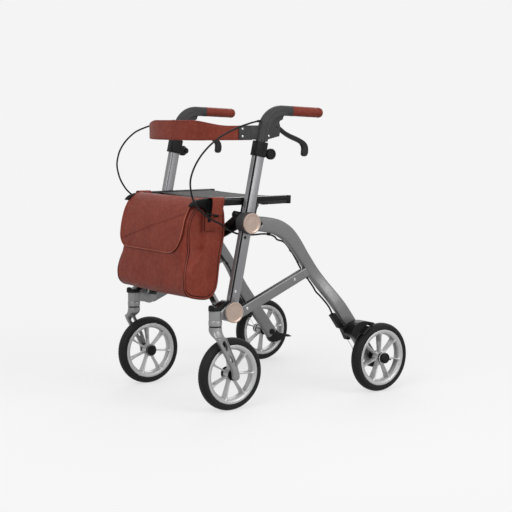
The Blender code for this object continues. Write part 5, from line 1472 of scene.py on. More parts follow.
    def cap(self, centre: Vector) -> Solid:
        """Dished cap with a raised rounded edge."""
        low, high = self.cap_x
        r = self.cap_radius
        profile = [(0, low), (r - 0.0014, low), (r - 0.0004, low + 0.0006), (r, low + 0.0018), (r, high - 0.0026),
            (r - 0.0006, high - 0.001), (r - 0.0018, high - 0.0001), (r - 0.003, high), (r - 0.0046, high - 0.0003),
            (r - 0.0056, high - 0.0011), (r - 0.0068, high - 0.0014), (0.012, high - 0.0009), (0, high - 0.0006)]
        return revolve("cap", profile, about_x((0, centre.y, centre.z)), 128)

    def pedal(self) -> Solid:
        """Foot of the leg with a ribbed tongue."""
        x, y, z, height = self.leg_stations[-1]
        before = self.leg_stations[-2]
        ahead = Vector((y - before[1], z - before[2])).normalized()
        up = Vector((-ahead.y, ahead.x)) * (height / 2)
        end = Vector((y, z)) + ahead * CLEARANCE
        top = smooth_edge([tuple(end + up), (0.27, 0.0935), (0.279, 0.0908), (0.292, 0.085), (0.31, 0.0795),
            (0.3228, 0.0776)], 0.004)
        low = smooth_edge([(0.3228, 0.0742), (0.308, 0.075), (0.296, 0.0765), (0.288, 0.0735), (0.278, 0.0672),
            (0.26, 0.0642), (0.245, 0.064), tuple(end - up)], 0.004)
        half = self.leg_width / 2
        body = prism("pedal", top + low, x - half, x + half)
        eased(body, 0.0018, 3, 50)
        ribs = []
        for i in range(4):
            share = i / 3
            spot = (0.296 + 0.02 * share, 0.0851 - 0.0052 * share)
            ribs.append(prism("rib", circle(0.0011, spot, 12), x - half + 0.003, x + half - 0.003))
        return fused(body, *ribs)

    def screws(self) -> Solid:
        """Screw heads on the outer faces of the leg, the rail and the upright."""
        places = [(0.2204, -0.188, 0.276), (0.2204, -0.023, 0.342), tuple(ACROSS_UPRIGHT @ Vector((0.0102, -0.003,
            up_upright(0.325))))]
        return copies_at("screws", screw_head(0.0042, 0.0011), places, [(1, 0, 0)] * len(places), Stock.STEEL)

    def plugs(self) -> Solid:
        """Dark hole plugs on the upright below the upper joint and on the rail."""
        places = [tuple(ACROSS_UPRIGHT @ Vector((0.01, -0.003, up_upright(0.47)))), (0.2208, -0.1418, 0.5052)]
        head = revolve("plug", rows(2, 0, -20, 44, -20, 44, 6, 36, 11, 24, 8, 0, 6), Matrix.Identity(4), 24)
        return copies_at("plugs", head, places, [(1, 0, 0)] * len(places), Stock.BLACK)

    def rail_strip(self) -> Solid:
        """Dark strip let into the top of the lower rail."""
        start, end = Vector((-0.206, 0.2665)), Vector((0.008, 0.3533))
        ahead = (end - start).normalized()
        up = Vector((-ahead.y, ahead.x))
        corners = [start + up * 0.0133, end + up * 0.0133, end + up * 0.0147, start + up * 0.0147]
        return slab("strip", [tuple(p) for p in corners], 0.206, 0.216, 0.0004, 2)

    def add(self, kit: Kit) -> None:
        """Build the side frame on both sides."""
        kit.pair(self.upright(), "upright_tube", Stock.TUBE, "frame", "tube_silver", "upright", smooth=25)
        kit.pair(self.leg(), "rear_leg_tube", Stock.LEG, "frame", "tube_grey", "rear_leg", smooth=40)
        kit.pair(self.rail(), "lower_rail_tube", Stock.LEG, "frame", "tube_grey", "lower_rail")
        kit.pair(self.upper_hub(), "upper_joint_drum", Stock.CHARCOAL, "frame", "plastic_grey", "upper_hub")
        kit.pair(self.lower_hub(), "cast_bracket", Stock.CAST, "frame", "cast_silver", "lower_hub")
        kit.pair(self.head_cover(), "steering_head_cover", Stock.GLOSS, "frame", "plastic_black", "head_cover")
        kit.pair(self.cap(self.upper), "upper_joint_cap", Stock.ROSE, "frame", "cap_rose", "upper_cap")
        kit.pair(self.cap(self.lower), "lower_joint_cap", Stock.ROSE, "frame", "cap_rose", "lower_cap")
        kit.pair(self.pedal(), "kerb_tongue", Stock.BLACK, "frame", "plastic_black", "kerb_pedal")
        # Painted shade: black strips darken the upright's groove and a band of its inner face.
        kit.pair(self.upright_strip(), "upright_strip", Stock.GLOSS, "frame", "plastic_black")
        kit.pair(self.screws(), "frame_screws", Stock.STEEL, "frame", "steel")
        kit.pair(self.plugs(), "frame_plugs", Stock.BLACK, "frame", "plastic_black")
        kit.pair(self.rail_strip(), "rail_strip", Stock.BLACK, "frame", "plastic_black")


# Handles, brakes and cables


@dataclass
class Handle:
    """Telescopic post, clamp, moulded handle, leather grip and brake lever of one side."""

    x: float = 0.211
    half_width: float = 0.013
    half_depth: float = 0.014
    base_z: float = 0.7305
    bend_z: float = 0.762
    bend_radius: float = 0.064
    droop: float = math.radians(2.5)
    grip_start: float = -0.032
    grip_length: float = 0.108
    grip_radius: float = 0.0136
    clamp: Flat = (-0.1085, 0.694)
    lever_pivot: Flat = (-0.088, 0.768)

    def path(self, offset: float = 0.0, start: float = 0.0) -> tuple[list[Vector], Vector]:
        """Centre line of the handle in the side view, or a line beside it.

        Args:
            offset: Distance towards the inner side of the bend.
            start: Distance up the straight stretch at which the line starts.

        Returns:
            The points, and the direction that the line ends in.
        """
        foot = Vector((UPRIGHT_FOOT.y, UPRIGHT_FOOT.z))
        lean = Vector((LEAN_UP.y, LEAN_UP.z))
        first = math.pi / 2 - LEAN
        last = -self.droop
        bend = foot + lean * up_upright(self.bend_z)
        inner = self.bend_radius - offset
        side = Vector((lean.y, -lean.x))
        begin = foot + lean * (up_upright(self.base_z) + start) + side * offset
        corner = bend + side * offset
        points = [begin.lerp(corner, i / 4) for i in range(4)]
        steps = 26
        for i in range(steps + 1):
            heading = first + (last - first) * i / steps
            points.append(corner + inner * Vector((math.sin(first) - math.sin(heading),
                math.cos(heading) - math.cos(first))))
        ahead = Vector((math.cos(last), math.sin(last)))
        tail = points[-1] + ahead * ((self.grip_start - points[-1].x) / ahead.x)
        points += [points[-1].lerp(tail, i / 5) for i in range(1, 6)]
        return (points, ahead)

    def grip_axes(self) -> Matrix:
        """Axes of the grip, with the third along it."""
        points, ahead = self.path()
        along = Vector((0, ahead.x, ahead.y))
        return axes(AXIS_X, along.cross(AXIS_X), along, (self.x, points[-1].x, points[-1].y))

    def body(self) -> Solid:
        """Moulded handle with its inner band, lever cheeks, strap plate and grip core."""
        points, _ = self.path()
        rings = []
        for i, point in enumerate(points):
            way = Vector((LEAN_UP.y, LEAN_UP.z)) if i == 0 else step_at(points, i).normalized()
            normal = Vector((way.y, -way.x))
            rings.append([Vector((self.x + a, point.x + normal.x * b, point.y + normal.y * b))
                for a, b in oval(self.half_width, self.half_depth, 0.8, 40)])
        body = loft("handle", rings)
        band_outer, _ = self.path(0.003)
        band_inner, _ = self.path(0.014)
        band_outline = [(p.x, p.y) for p in band_outer[:-3]] + [(p.x, p.y) for p in reversed(band_inner[:-3])]
        band = prism("band", band_outline, self.x - self.half_width - 0.001, self.x + self.half_width + 0.001)
        eased(band, 0.0012, 3, 40)
        core = rod("core", 0.008, -0.01, 0.07, self.grip_axes())
        cheek_outline = rows(2, -640, 8065, -632, 7960, -660, 7935, -655, 7895, -700, 7862, -760, 7845, -790, 7790,
            -765, 7720, -755, 7620, -775, 7500, -785, 7440)
        teeth = 5
        for i in range(teeth):
            share = i / teeth
            y = -0.0785 - 0.04 * share
            z = 0.744 - 0.0085 * share
            cheek_outline += [(y - 0.002, z - 0.0026), (y - 0.006, z - 0.0028), (y - 0.007, z - 0.0006)]
        cheek_outline += [(-0.122, 0.7345), (-0.122, 0.77), (-0.1, 0.8)]
        cheeks = slab("cheeks", cheek_outline, self.x - 0.0098, self.x + 0.0098, 0.0008, 2, 30)
        plate_outline = rows(2, -2070, 7338, -1300, 7338, -1300, 7720, -2070, 7720)
        plate = slab("plate", plate_outline, 0.207, 0.211, 0.0008, 2)
        ridge = slab("ridge", rows(2, -1700, 7345, -1440, 7345, -1380, 7712, -1700, 7712), 0.207, 0.2122, 0.001, 2)
        fused(body, band, core, cheeks, plate, ridge)
        slot_outline = rows(2, -995, 7250, -400, 7250, -400, 7880, -780, 7885, -995, 7800)
        room = prism("room", slot_outline, self.x - 0.0055, self.x + 0.0055)
        pocket = prism("pocket", round_box(0.0068, 0.0118, 0.001, 2), 0, up_upright(0.7563), ACROSS_UPRIGHT)
        cut(body, room, pocket, prism("pin", circle(0.0028, self.lever_pivot), 0.1, 0.3))
        return eased(body, 0.0003, 1, 50)

    def grip(self) -> Solid:
        """Leather sleeve with a soft belly and a rounded end."""
        length = self.grip_length
        r = self.grip_radius
        profile = [(0.0083, 0.0003), (r - 0.0008, 0.0003), (r - 0.0002, 0.001), (r, 0.0026), (r + 0.0001, 0.02),
            (r + 0.0002, length * 0.5), (r, length - 0.013), (r - 0.0001, length - 0.0088),
            (r - 0.0004, length - 0.006), (r - 0.0014, length - 0.003), (r - 0.0032, length - 0.001),
            (r - 0.006, length), (0.0, length), (0.0, 0.0703), (0.0083, 0.0703)]
        return revolve("grip", profile, self.grip_axes(), 96)

    def grip_welt(self) -> Solid:
        """Raised seam round the grip's end and along its underside."""
        place = self.grip_axes()
        r = self.grip_radius
        rings = []
        for height in (self.grip_length - 0.0105, 0.0035):
            line = [place @ Vector((a, b, height)) for a, b in circle(r + 0.0001, steps=72)]
            rings.append(loft("welt", [[p + ((p - place @ Vector((0, 0, height))).normalized() * a
                + place.to_3x3() @ AXIS_Z * b) for a, b in circle(0.00055, steps=8)] for p in line], around=True))
        low = [place @ Vector((0, r * math.cos(math.pi) + 0.0001, h))
            for h in (0.004, 0.03, 0.06, self.grip_length - 0.011)]
        rings.append(tube("welt", low, 0.0005, 8))
        return grouped("welts", [painted(ring, Stock.HIDE) for ring in rings])

    def grip_stitches(self) -> Solid:
        """Stitches beside the grip's seams."""
        place = self.grip_axes()
        r = self.grip_radius + 0.0001
        ring = [place @ Vector((a, b, self.grip_length - 0.0122)) for a, b in circle(r, steps=72)]
        lines = [ring + ring[:1]]
        for side in (-1, 1):
            turn = math.pi + side * 0.13
            lines.append([place @ Vector((r * math.sin(turn), r * math.cos(turn), h))
                for h in (0.006, 0.03, 0.06, self.grip_length - 0.014)])
        return stitches("grip_stitches", lines, 0.0034, 0.0024, 0.00032)

    def lever(self) -> Solid:
        """Hooked lever with a rounded back and its pin."""
        curve = smooth_edge(rows(2, -790, 7580, -660, 7510, -480, 7405, -300, 7325, -60, 7235, 30, 7170, 68, 7090,
            64, 6990, 58, 6925, 85, 6872, 150, 6850, 220, 6866, 265, 6915, 282, 7000, 278, 7090, 245, 7180, 170, 7262,
            50, 7330, -140, 7410, -340, 7480, -520, 7560, -640, 7640, -740, 7710), 0.003)
        outline = arc(0.0095, self.lever_pivot, 60, 250, 20) + curve
        lever = slab("lever", outline, self.x - 0.005, self.x + 0.005, 0.0026, 4, 40)
        pin = prism("pin", circle(0.0025, self.lever_pivot, 24), self.x - 0.0085, self.x + 0.0085)
        return fused(lever, pin)

    def collar(self) -> Solid:
        """Clamp collar with a stepped lip, a vertical slot and its bolt ears."""
        low, high = up_upright(0.689), up_upright(0.728)
        body = prism("collar", round_box(0.0135, 0.0185, 0.004, 6), low, high, ACROSS_UPRIGHT)
        eased(body, 0.0009, 2, 50)
        ear_outline = arc(0.009, self.clamp, -110, 80, 16) + [(-0.133, 0.708), (-0.14, 0.69)]
        ears = slab("ears", ear_outline, 0.1985, 0.211, 0.001, 2)
        lip = slab("lip", round_box(0.0141, 0.0191, 0.0044, 6), low + 0.0005, low + 0.004, 0.0006, 2,
            place=ACROSS_UPRIGHT)
        fused(body, ears, lip)
        slot = prism("slot", round_box(0.0013, 0.0013, 0.0004, 1), -0.013, 0.013,
            axes(LEAN_BACK, AXIS_X, LEAN_UP, ACROSS_UPRIGHT @ Vector((0.014, 0.0035, (low + high) / 2))))
        cut(body, prism("upright", round_box(0.0103, 0.0153, 0.0006, 1), -1, up_upright(0.7123), ACROSS_UPRIGHT),
            prism("post", round_box(0.0069, 0.0119, 0.001, 1), 0, 1, ACROSS_UPRIGHT), slot,
            prism("bolt", circle(0.0033, self.clamp), 0.1, 0.3))
        return eased(body, 0.0003, 1, 50)

    def knob(self) -> Solid:
        """Clamp knob with a fluted edge."""
        face, back = 0.2113, 0.1982
        place = about_x((0, *self.clamp))
        body = revolve("knob", [(0, back - 0.003), (0.005, back - 0.003), (0.005, back), (0.003, back), (0.003, face),
            (0.008, face), (0.0092, face + 0.003), (0.0138, face + 0.003), (0.015, face + 0.0042),
            (0.015, face + 0.012), (0.0142, face + 0.0134), (0.0125, face + 0.014), (0.0105, face + 0.0134),
            (0.0095, face + 0.0124), (0, face + 0.0128)], place, 96)
        flute = rod("flute", 0.0011, -0.008, 0.008, Matrix.Identity(4))
        return notched(body, flute, 0.0154, face + 0.009, 18, place)

    def screws(self) -> Solid:
        """Pale screws of the strap's plate and the handle's side."""
        places = [(0.2108, -0.196, 0.743), (0.2108, -0.196, 0.763)]
        places += [(self.x + self.half_width + 0.0006, -0.118, 0.7435)]
        return copies_at("screws", screw_head(0.0032, 0.001), places, [(1, 0, 0)] * len(places), Stock.STEEL)

    def post(self) -> Solid:
        """Telescopic post inside the upright."""
        return prism("post", round_box(0.0066, 0.0116, 0.0012, 3), up_upright(0.5), up_upright(0.756), ACROSS_UPRIGHT)

    def add(self, kit: Kit) -> None:
        """Build the handle on both sides."""
        kit.pair(self.post(), "handle_tube", Stock.TUBE, "handle", "tube_silver", "handle_post")
        kit.pair(self.body(), "moulded_handle", Stock.CHARCOAL, "handle", "plastic_grey", "handle_body", smooth=38)
        kit.pair(self.grip(), "grip_sleeve", Stock.HIDE, "handle", "leather", "grip", smooth=50)
        kit.pair(self.grip_welt(), "grip_seams", None, "handle", "leather")
        kit.pair(self.grip_stitches(), "grip_stitches", None, "handle", "leather")
        kit.pair(self.lever(), "hooked_lever", Stock.BAR, "lever", "plastic_grey", "brake_lever", smooth=38)
        kit.pair(self.collar(), "clamp_collar", Stock.BLACK, "frame", "plastic_black", "collar")
        kit.pair(self.knob(), "clamp_knob", Stock.BLACK, "knob", "plastic_black", "height_knob")
        kit.pair(self.screws(), "handle_screws", Stock.STEEL, "handle", "steel")


@dataclass
class RearBrake:
    """Brake body over the rear tyre, its shoe and the cable's adjuster."""

    pivot: Flat = (0.154, 0.1865)
    hood_x: Flat = (0.2535, 0.29)

    def housing(self, frame: SideFrame) -> Solid:
        """Hood over the tyre with its arm on the leg and the adjuster's block."""
        centre = (REAR_WHEEL.y, REAR_WHEEL.z)
        outline = smooth_edge(rows(2, 1290, 1780, 1330, 1880, 1430, 2010, 1590, 2098, 1780, 2120, 1980, 2088,
            2170, 2040), 0.004)
        outline += arc(WHEEL_RADIUS + 0.0035, centre, 103, 112, 4) + arc(WHEEL_RADIUS + 0.0125, centre, 114, 146, 14)
        hood = eased(prism("hood", outline, *self.hood_x, SIDE_VIEW), 0.0028, 4, 40)
        arm_outline = rows(2, 1180, 1960, 1430, 1650, 1640, 1830, 1660, 2060, 1520, 2080, 1330, 1950)
        arm = slab("arm", arm_outline, 0.2513, 0.2575, 0.001, 2)
        stop_outline = rows(2, 915, 2310, 1053, 2380, 1418, 1923, 1633, 1547, 1500, 1550, 1323, 1875, 1209, 1916)
        stop = slab("stop", stop_outline, 0.231, 0.249, 0.0016, 3)
        tie_outline = rows(2, 1200, 1960, 1330, 1790, 1480, 1700, 1330, 1960)
        tie = prism("tie", tie_outline, 0.245, 0.2555)
        fused(hood, arm, stop, tie)
        room = prism("room", rows(2, 1455, 1600, 2020, 1600, 2020, 2045, 1455, 2045), 0.2695, 0.2866)
        cut(hood, room, frame.leg_room(), prism("pin", circle(0.0033, self.pivot), 0.2, 0.275),
            prism("hole", circle(0.0046, (0.197, 0.1985)), 0.27, 0.3))
        return eased(hood, 0.0005, 2, 45)

    def shoe(self) -> Solid:
        """Brake arm with its ribbed pad and pin."""
        centre = (REAR_WHEEL.y, REAR_WHEEL.z)
        low = WHEEL_RADIUS + 0.0022
        pad_outline = arc(low, centre, 116, 134, 10) + arc(low + 0.0055, centre, 134, 116, 10)
        pad = slab("pad", pad_outline, 0.27, 0.298, 0.0007, 2, 40)
        arm_outline = arc(low + 0.002, centre, 118, 133, 8) + arc(0.006, self.pivot, 260, 60, 10) + arc(low + 0.006,
            centre, 128, 118, 8)
        arm = slab("arm", arm_outline, 0.2702, 0.285, 0.0007, 2, 40)
        return fused(pad, arm, prism("pin", circle(0.003, self.pivot, 24), 0.2565, 0.274))

    def adjuster(self) -> Solid:
        """Knurled barrel between the cable and its stop."""
        start, end = Vector((0.24, 0.0983, 0.235)), Vector((0.24, 0.104, 0.2275))
        along = (end - start).normalized()
        place = axes(AXIS_X, along.cross(AXIS_X), along, start)
        body = revolve("barrel", rows(2, 0, -6, 34, -6, 40, 4, 40, 40, 50, 44, 50, 85, 0, 85), place, 48)
        groove = rod("groove", 0.0005, 0.0002, 0.0042, Matrix.Identity(4))
        return notched(body, groove, 0.0041, 0.0, 16, place)

    def inner_wire(self) -> Solid:
        """Bare inner cable from the stop's foot to the shoe's arm, with its nipple."""
        line = smooth_line([(0.24, 0.156, 0.1575), (0.2405, 0.166, 0.142), (0.242, 0.177, 0.125)], 0.004)
        wire = tube("wire", line, 0.0008, 10)
        nipple = rod("nipple", 0.002, -0.003, 0.003, axes(AXIS_X, AXIS_Y, AXIS_Z, line[-1]), 0.0004)
        return grouped("wire", [painted(wire, Stock.STEEL), painted(nipple, Stock.STEEL)])

    def add(self, kit: Kit, frame: SideFrame) -> None:
        """Build the brake on both sides."""
        kit.pair(self.housing(frame), "brake_body", Stock.BLACK, "frame", "plastic_black", "brake_housing")
        kit.pair(self.shoe(), "brake_pad", Stock.BAR, "shoe", "steel", "brake_shoe")
        kit.pair(self.adjuster(), "cable_adjuster", Stock.BLACK, "frame", "plastic_black")
        kit.pair(self.inner_wire(), "inner_wire", None, "frame", "steel")


@dataclass
class Cables:
    """Brake cables along their real routes, held at both ends."""

    radius: float = 0.0025
    left_loop: tuple[Spot, ...] = tuple(rows(3, 2140, -1400, 7840, 2220, -1560, 7830, 2290, -1850, 7780,
        2310, -2250, 7670, 2310, -2680, 7500, 2300, -3060, 7280, 2290, -3400, 6980, 2280, -3640, 6640,
        2270, -3760, 6280, 2260, -3705, 5900, 2240, -3560, 5640, 2200, -3290, 5400, 2130, -2950, 5220,
        2040, -2620, 5080, 1950, -2330, 4930, 1900, -2060, 4810, 1915, -1780, 4750, 1980, -1500, 4740))
    right_loop: tuple[Spot, ...] = tuple(rows(3, -2140, -1400, 7840, -2165, -1850, 7775, -2170, -2261, 7684,
        -2170, -2671, 7543, -2170, -2904, 7396, -2170, -3115, 7201, -2170, -3273, 6971, -2170, -3350, 6743,
        -2170, -3373, 6578, -2170, -3355, 6415, -2170, -3285, 6180, -2170, -3174, 5978, -2165, -3042, 5809,
        -2145, -2871, 5653, -2080, -2600, 5360, -2000, -2390, 5110, -1930, -2190, 4920, -1900, -2020, 4820,
        -1915, -1780, 4760, -1980, -1500, 4750))
    leg_run: tuple[Spot, ...] = tuple(rows(3, 2060, -1280, 4755, 2105, -1080, 4738, 2090, -890, 4670,
        2030, -780, 4615, 1972, -670, 4550, 1965, -436, 4470, 1965, -229, 4261, 1965, -25, 3990, 1965, 144, 3718,
        1965, 317, 3507, 1970, 475, 3302, 2020, 585, 3125, 2090, 630, 2990, 2170, 705, 2880, 2280, 820, 2700,
        2370, 890, 2550, 2395, 925, 2465, 2400, 980, 2353))

    def add(self, kit: Kit) -> None:
        """Build both cables with their ferrules and clips."""
        for side, loop in ((Side.LEFT, self.left_loop), (Side.RIGHT, self.right_loop)):
            route = list(loop) + [(side.value * x, y, z) for x, y, z in self.leg_run]
            line = smooth_line(route, 0.004)
            LOG.info("cable %s: %.3f m long", side.label, run_lengths(line)[-1])
            sheath = tube("sheath", line, self.radius, 14)
            name = f"brake_cable_sheath_{side.label}"
            kit.add(sheath, name, Stock.SHEATH, "", "plastic_black", f"brake_cable_{side.label}", smooth=50)
            self.across_post(kit, sheath, side)
            ferrule = tube("ferrule", line[:5], self.radius + 0.0009, 20)
            kit.add(ferrule, f"cable_ferrule_{side.label}", Stock.BLACK, f"handle_{side.label}", "plastic_black")
            self.clips(kit, side, line)

    @staticmethod
    def across_post(kit: Kit, piece: Solid, side: Side) -> None:
        """Bake a piece's placement into its mesh; the piece runs between the frame and the handle that slides in it.
        """
        f"frame_{side.label}"
        f"handle_{side.label}"
        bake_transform(piece)

    def clips(self, kit: Kit, side: Side, line: Sequence[Vector]) -> None:
        """Clips that hold the cable under the leg."""
        parts = []
        for z in (0.4742, 0.423, 0.34):
            near = min(range(2, len(line) - 2), key=lambda i: abs(line[i].z - z) + max(0.0, -0.128 - line[i].y))
            parts.append(tube("clip", line[near - 1:near + 2], self.radius + 0.0013, 20))
        kit.add(grouped("clips", [painted(part, Stock.BLACK) for part in parts]), f"cable_clips_{side.label}", None,
            f"frame_{side.label}", "plastic_black")


# Scissor fold and seat


@dataclass
class Scissor:
    """Crossed bars, fold links and seat rails between the side frames."""

    rail_x: float = 0.187
    rail_z: Flat = (0.557, 0.578)
    rail_y: Flat = (-0.279, -0.0205)

    @staticmethod
    def flat(x: float, z: float) -> Flat:
        """Point of the scissor's plane that lies at x and at the height z."""
        return (x, (z - SCISSOR_FOOT.z) / math.cos(LEAN))

    @staticmethod
    def refined(kit: Kit, node: str, ease: float) -> Solid:
        """Copy of a node with its triangles merged and its edges rounded.

        Args:
            node: The node's name.
            ease: Width of the rounding.

        Returns:
            The copy in the drawing's frame.
        """
        mesh = kit.frame["nodes"][node].data.copy()
        work = bmesh.new()
        work.from_mesh(mesh)
        bmesh.ops.remove_doubles(work, verts=work.verts, dist=0.000002)
        bmesh.ops.dissolve_limit(work, angle_limit=math.radians(0.6), verts=work.verts, edges=work.edges)
        work.to_mesh(mesh)
        work.free()
        mesh.transform(Matrix.Translation(-kit.shift))
        return eased(linked(node, mesh), ease, 3, 50)

    def rail(self) -> Solid:
        """Seat rail with a groove along its outer face and a lug for the scissor."""
        half = 0.01
        middle = sum(self.rail_z) / 2
        high = (self.rail_z[1] - self.rail_z[0]) / 2
        section = round_box(half, high, 0.005, 6)
        place = axes(AXIS_X, AXIS_Z, AXIS_Y, (self.rail_x, 0, middle))
        rail = prism("rail", section, self.rail_y[0], self.rail_y[1] - 0.004, place)
        pivot = Scissor.flat(0.186, 0.53)
        top = Scissor.flat(0, self.rail_z[0] + 0.008)[1]
        lug_outline = arc(0.0095, pivot, 180, 360, 20) + [(pivot[0] + 0.0095, top), (pivot[0] - 0.0095, top)]
        fused(rail, slab("lug", lug_outline, 0.0135, 0.0185, 0.0006, 2, place=SCISSOR))
        groove = prism("groove", [(half - 0.0011, -0.0046), (half + 0.01, -0.0046), (half + 0.01, -0.0012),
            (half - 0.0011, -0.0012)], -0.27, -0.034, place)
        cut(rail, groove, prism("pin", circle(PIN_BORE, pivot), -0.05, 0.05, SCISSOR))
        return eased(rail, 0.0005, 2, 45)

    def end_cap(self) -> Solid:
        """Moulded cap on the rail's rear end, with a lip below."""
        back = self.rail_y[1]
        outline = [(back - 0.0115, 0.5548), (back - 0.001, 0.5545), (back, 0.556), (back + 0.001, 0.5768),
            (back, 0.5776), (back - 0.0115, 0.5776)]
        return slab("cap", outline, self.rail_x - 0.0105, self.rail_x + 0.0105, 0.0013, 3)

    def strip(self) -> Solid:
        """Matt strip under the rail's rear half, with a clip."""
        strip = prism("strip", rows(2, -900, 5546, -330, 5550, -330, 5572, -900, 5572), self.rail_x - 0.0055,
            self.rail_x + 0.0055)
        clip = prism("clip", rows(2, -1140, 5545, -970, 5545, -940, 5575, -1160, 5575), self.rail_x - 0.0065,
            self.rail_x + 0.0065)
        return grouped("strip", [painted(eased(part, 0.0006, 2), Stock.BLACK) for part in (strip, clip)])

    def add(self, kit: Kit) -> None:
        """Build the fold's pieces."""
        for node, body in (("cross_bar_front", "bar_front"), ("cross_bar_rear", "bar_rear")):
            kit.add(self.refined(kit, node, 0.002), f"{node}_tube", Stock.BAR, body, "bar_black", node)
        kit.pair(self.refined(kit, "fold_link_left", 0.0012), "fold_link_plate", Stock.BAR, "link", "bar_black",
            "fold_link")
        kit.pair(self.rail(), "seat_rail_bar", Stock.GLOSS, "seat", "bar_black", "seat_rail")
        kit.pair(self.end_cap(), "seat_rail_cap", Stock.BLACK, "seat", "bar_black")
        kit.pair(self.strip(), "seat_rail_strip", None, "seat", "bar_black")


@dataclass
class Seat:
    """Woven seat sheet stretched between the rails."""

    half_x: float = 0.1764
    y: Flat = (-0.2145, -0.0325)
    top: float = 0.5743
    thick: float = 0.0016
    sag: float = 0.0048
    hem: float = 0.011

    def height(self, x: float, y: float) -> float:
        """Height of the sheet's upper side."""
        across = x / self.half_x
        along = (2 * y - self.y[0] - self.y[1]) / (self.y[1] - self.y[0])
        dip = self.sag * (1 - across * across) * (0.94 - 0.1 * along * along)
        ripple = 0.00035 * math.sin(46 * along + 3 * across) * across ** 6
        return self.top - dip + ripple

    def sheet(self) -> Solid:
        """The sheet, thicker along its two hems."""
        columns, rows = 72, 56
        length = self.y[1] - self.y[0]
        upper, lower = [], []
        for j in range(rows + 1):
            y = self.y[0] + length * j / rows
            edge = min(y - self.y[0], self.y[1] - y)
            swell = 0.0007 * held((self.hem - edge) / 0.0016) * min(1.0, edge / 0.0006 + 0.3)
            for i in range(columns + 1):
                x = -self.half_x + 2 * self.half_x * i / columns
                z = self.height(x, y)
                upper.append(Vector((x, y, z + swell)))
                lower.append(Vector((x, y, z - self.thick - swell)))
        width = columns + 1
        faces = []
        offset = len(upper)
        for j in range(rows):
            for i in range(columns):
                a, b, c, d = j * width + i, j * width + i + 1, (j + 1) * width + i + 1, (j + 1) * width + i
                faces += [[a, b, c, d], [offset + d, offset + c, offset + b, offset + a]]
        rim = [j for j in range(width)] + [k * width + columns for k in range(1, rows + 1)]
        rim += [rows * width + i for i in range(columns - 1, -1, -1)] + [k * width for k in range(rows - 1, 0, -1)]
        for a, b in zip(rim, rim[1:] + rim[:1]):
            faces.append([b, a, offset + a, offset + b])
        return mesh_of("seat", upper + lower, faces)

    def seams(self) -> Solid:
        """Double stitching along the hems and single stitching beside the rails."""
        lines = []
        for y in (self.y[0] + 0.0022, self.y[0] + 0.0092, self.y[1] - 0.0022, self.y[1] - 0.0092):
            xs = [-self.half_x + 0.003 + (2 * self.half_x - 0.006) * i / 60 for i in range(61)]
            lines.append([Vector((x, y, self.height(x, y) + 0.0006)) for x in xs])
        for side in (-1, 1):
            x = side * (self.half_x - 0.005)
            ys = [self.y[0] + 0.003 + (self.y[1] - self.y[0] - 0.006) * i / 40 for i in range(41)]
            lines.append([Vector((x, y, self.height(x, y) + 0.0003)) for y in ys])
        return stitches("seat_stitches", lines, 0.0038, 0.0027, 0.00034, Stock.SEWING)

    def add(self, kit: Kit, fold: Fold) -> None:
        """Build the seat and give its pieces their own meshes."""
        sheet = kit.add(self.sheet(), "seat_sheet", Stock.CLOTH, "seat_left", "seat_cloth", "seat_fabric")
        seams = kit.add(self.seams(), "seat_seams", None, "seat_left", "seat_cloth")
        for piece in (sheet, seams):
            fold.crumple(piece)


@dataclass
class Fold:
    """How far the two side frames close; the soft pieces between them only get their own meshes."""

    shift: float = 0.28

    def crumple(self, piece: Solid) -> None:
        """Give a piece its own copy of its mesh.

        Args:
            piece: The piece.
        """
        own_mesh(piece)


# Leather goods


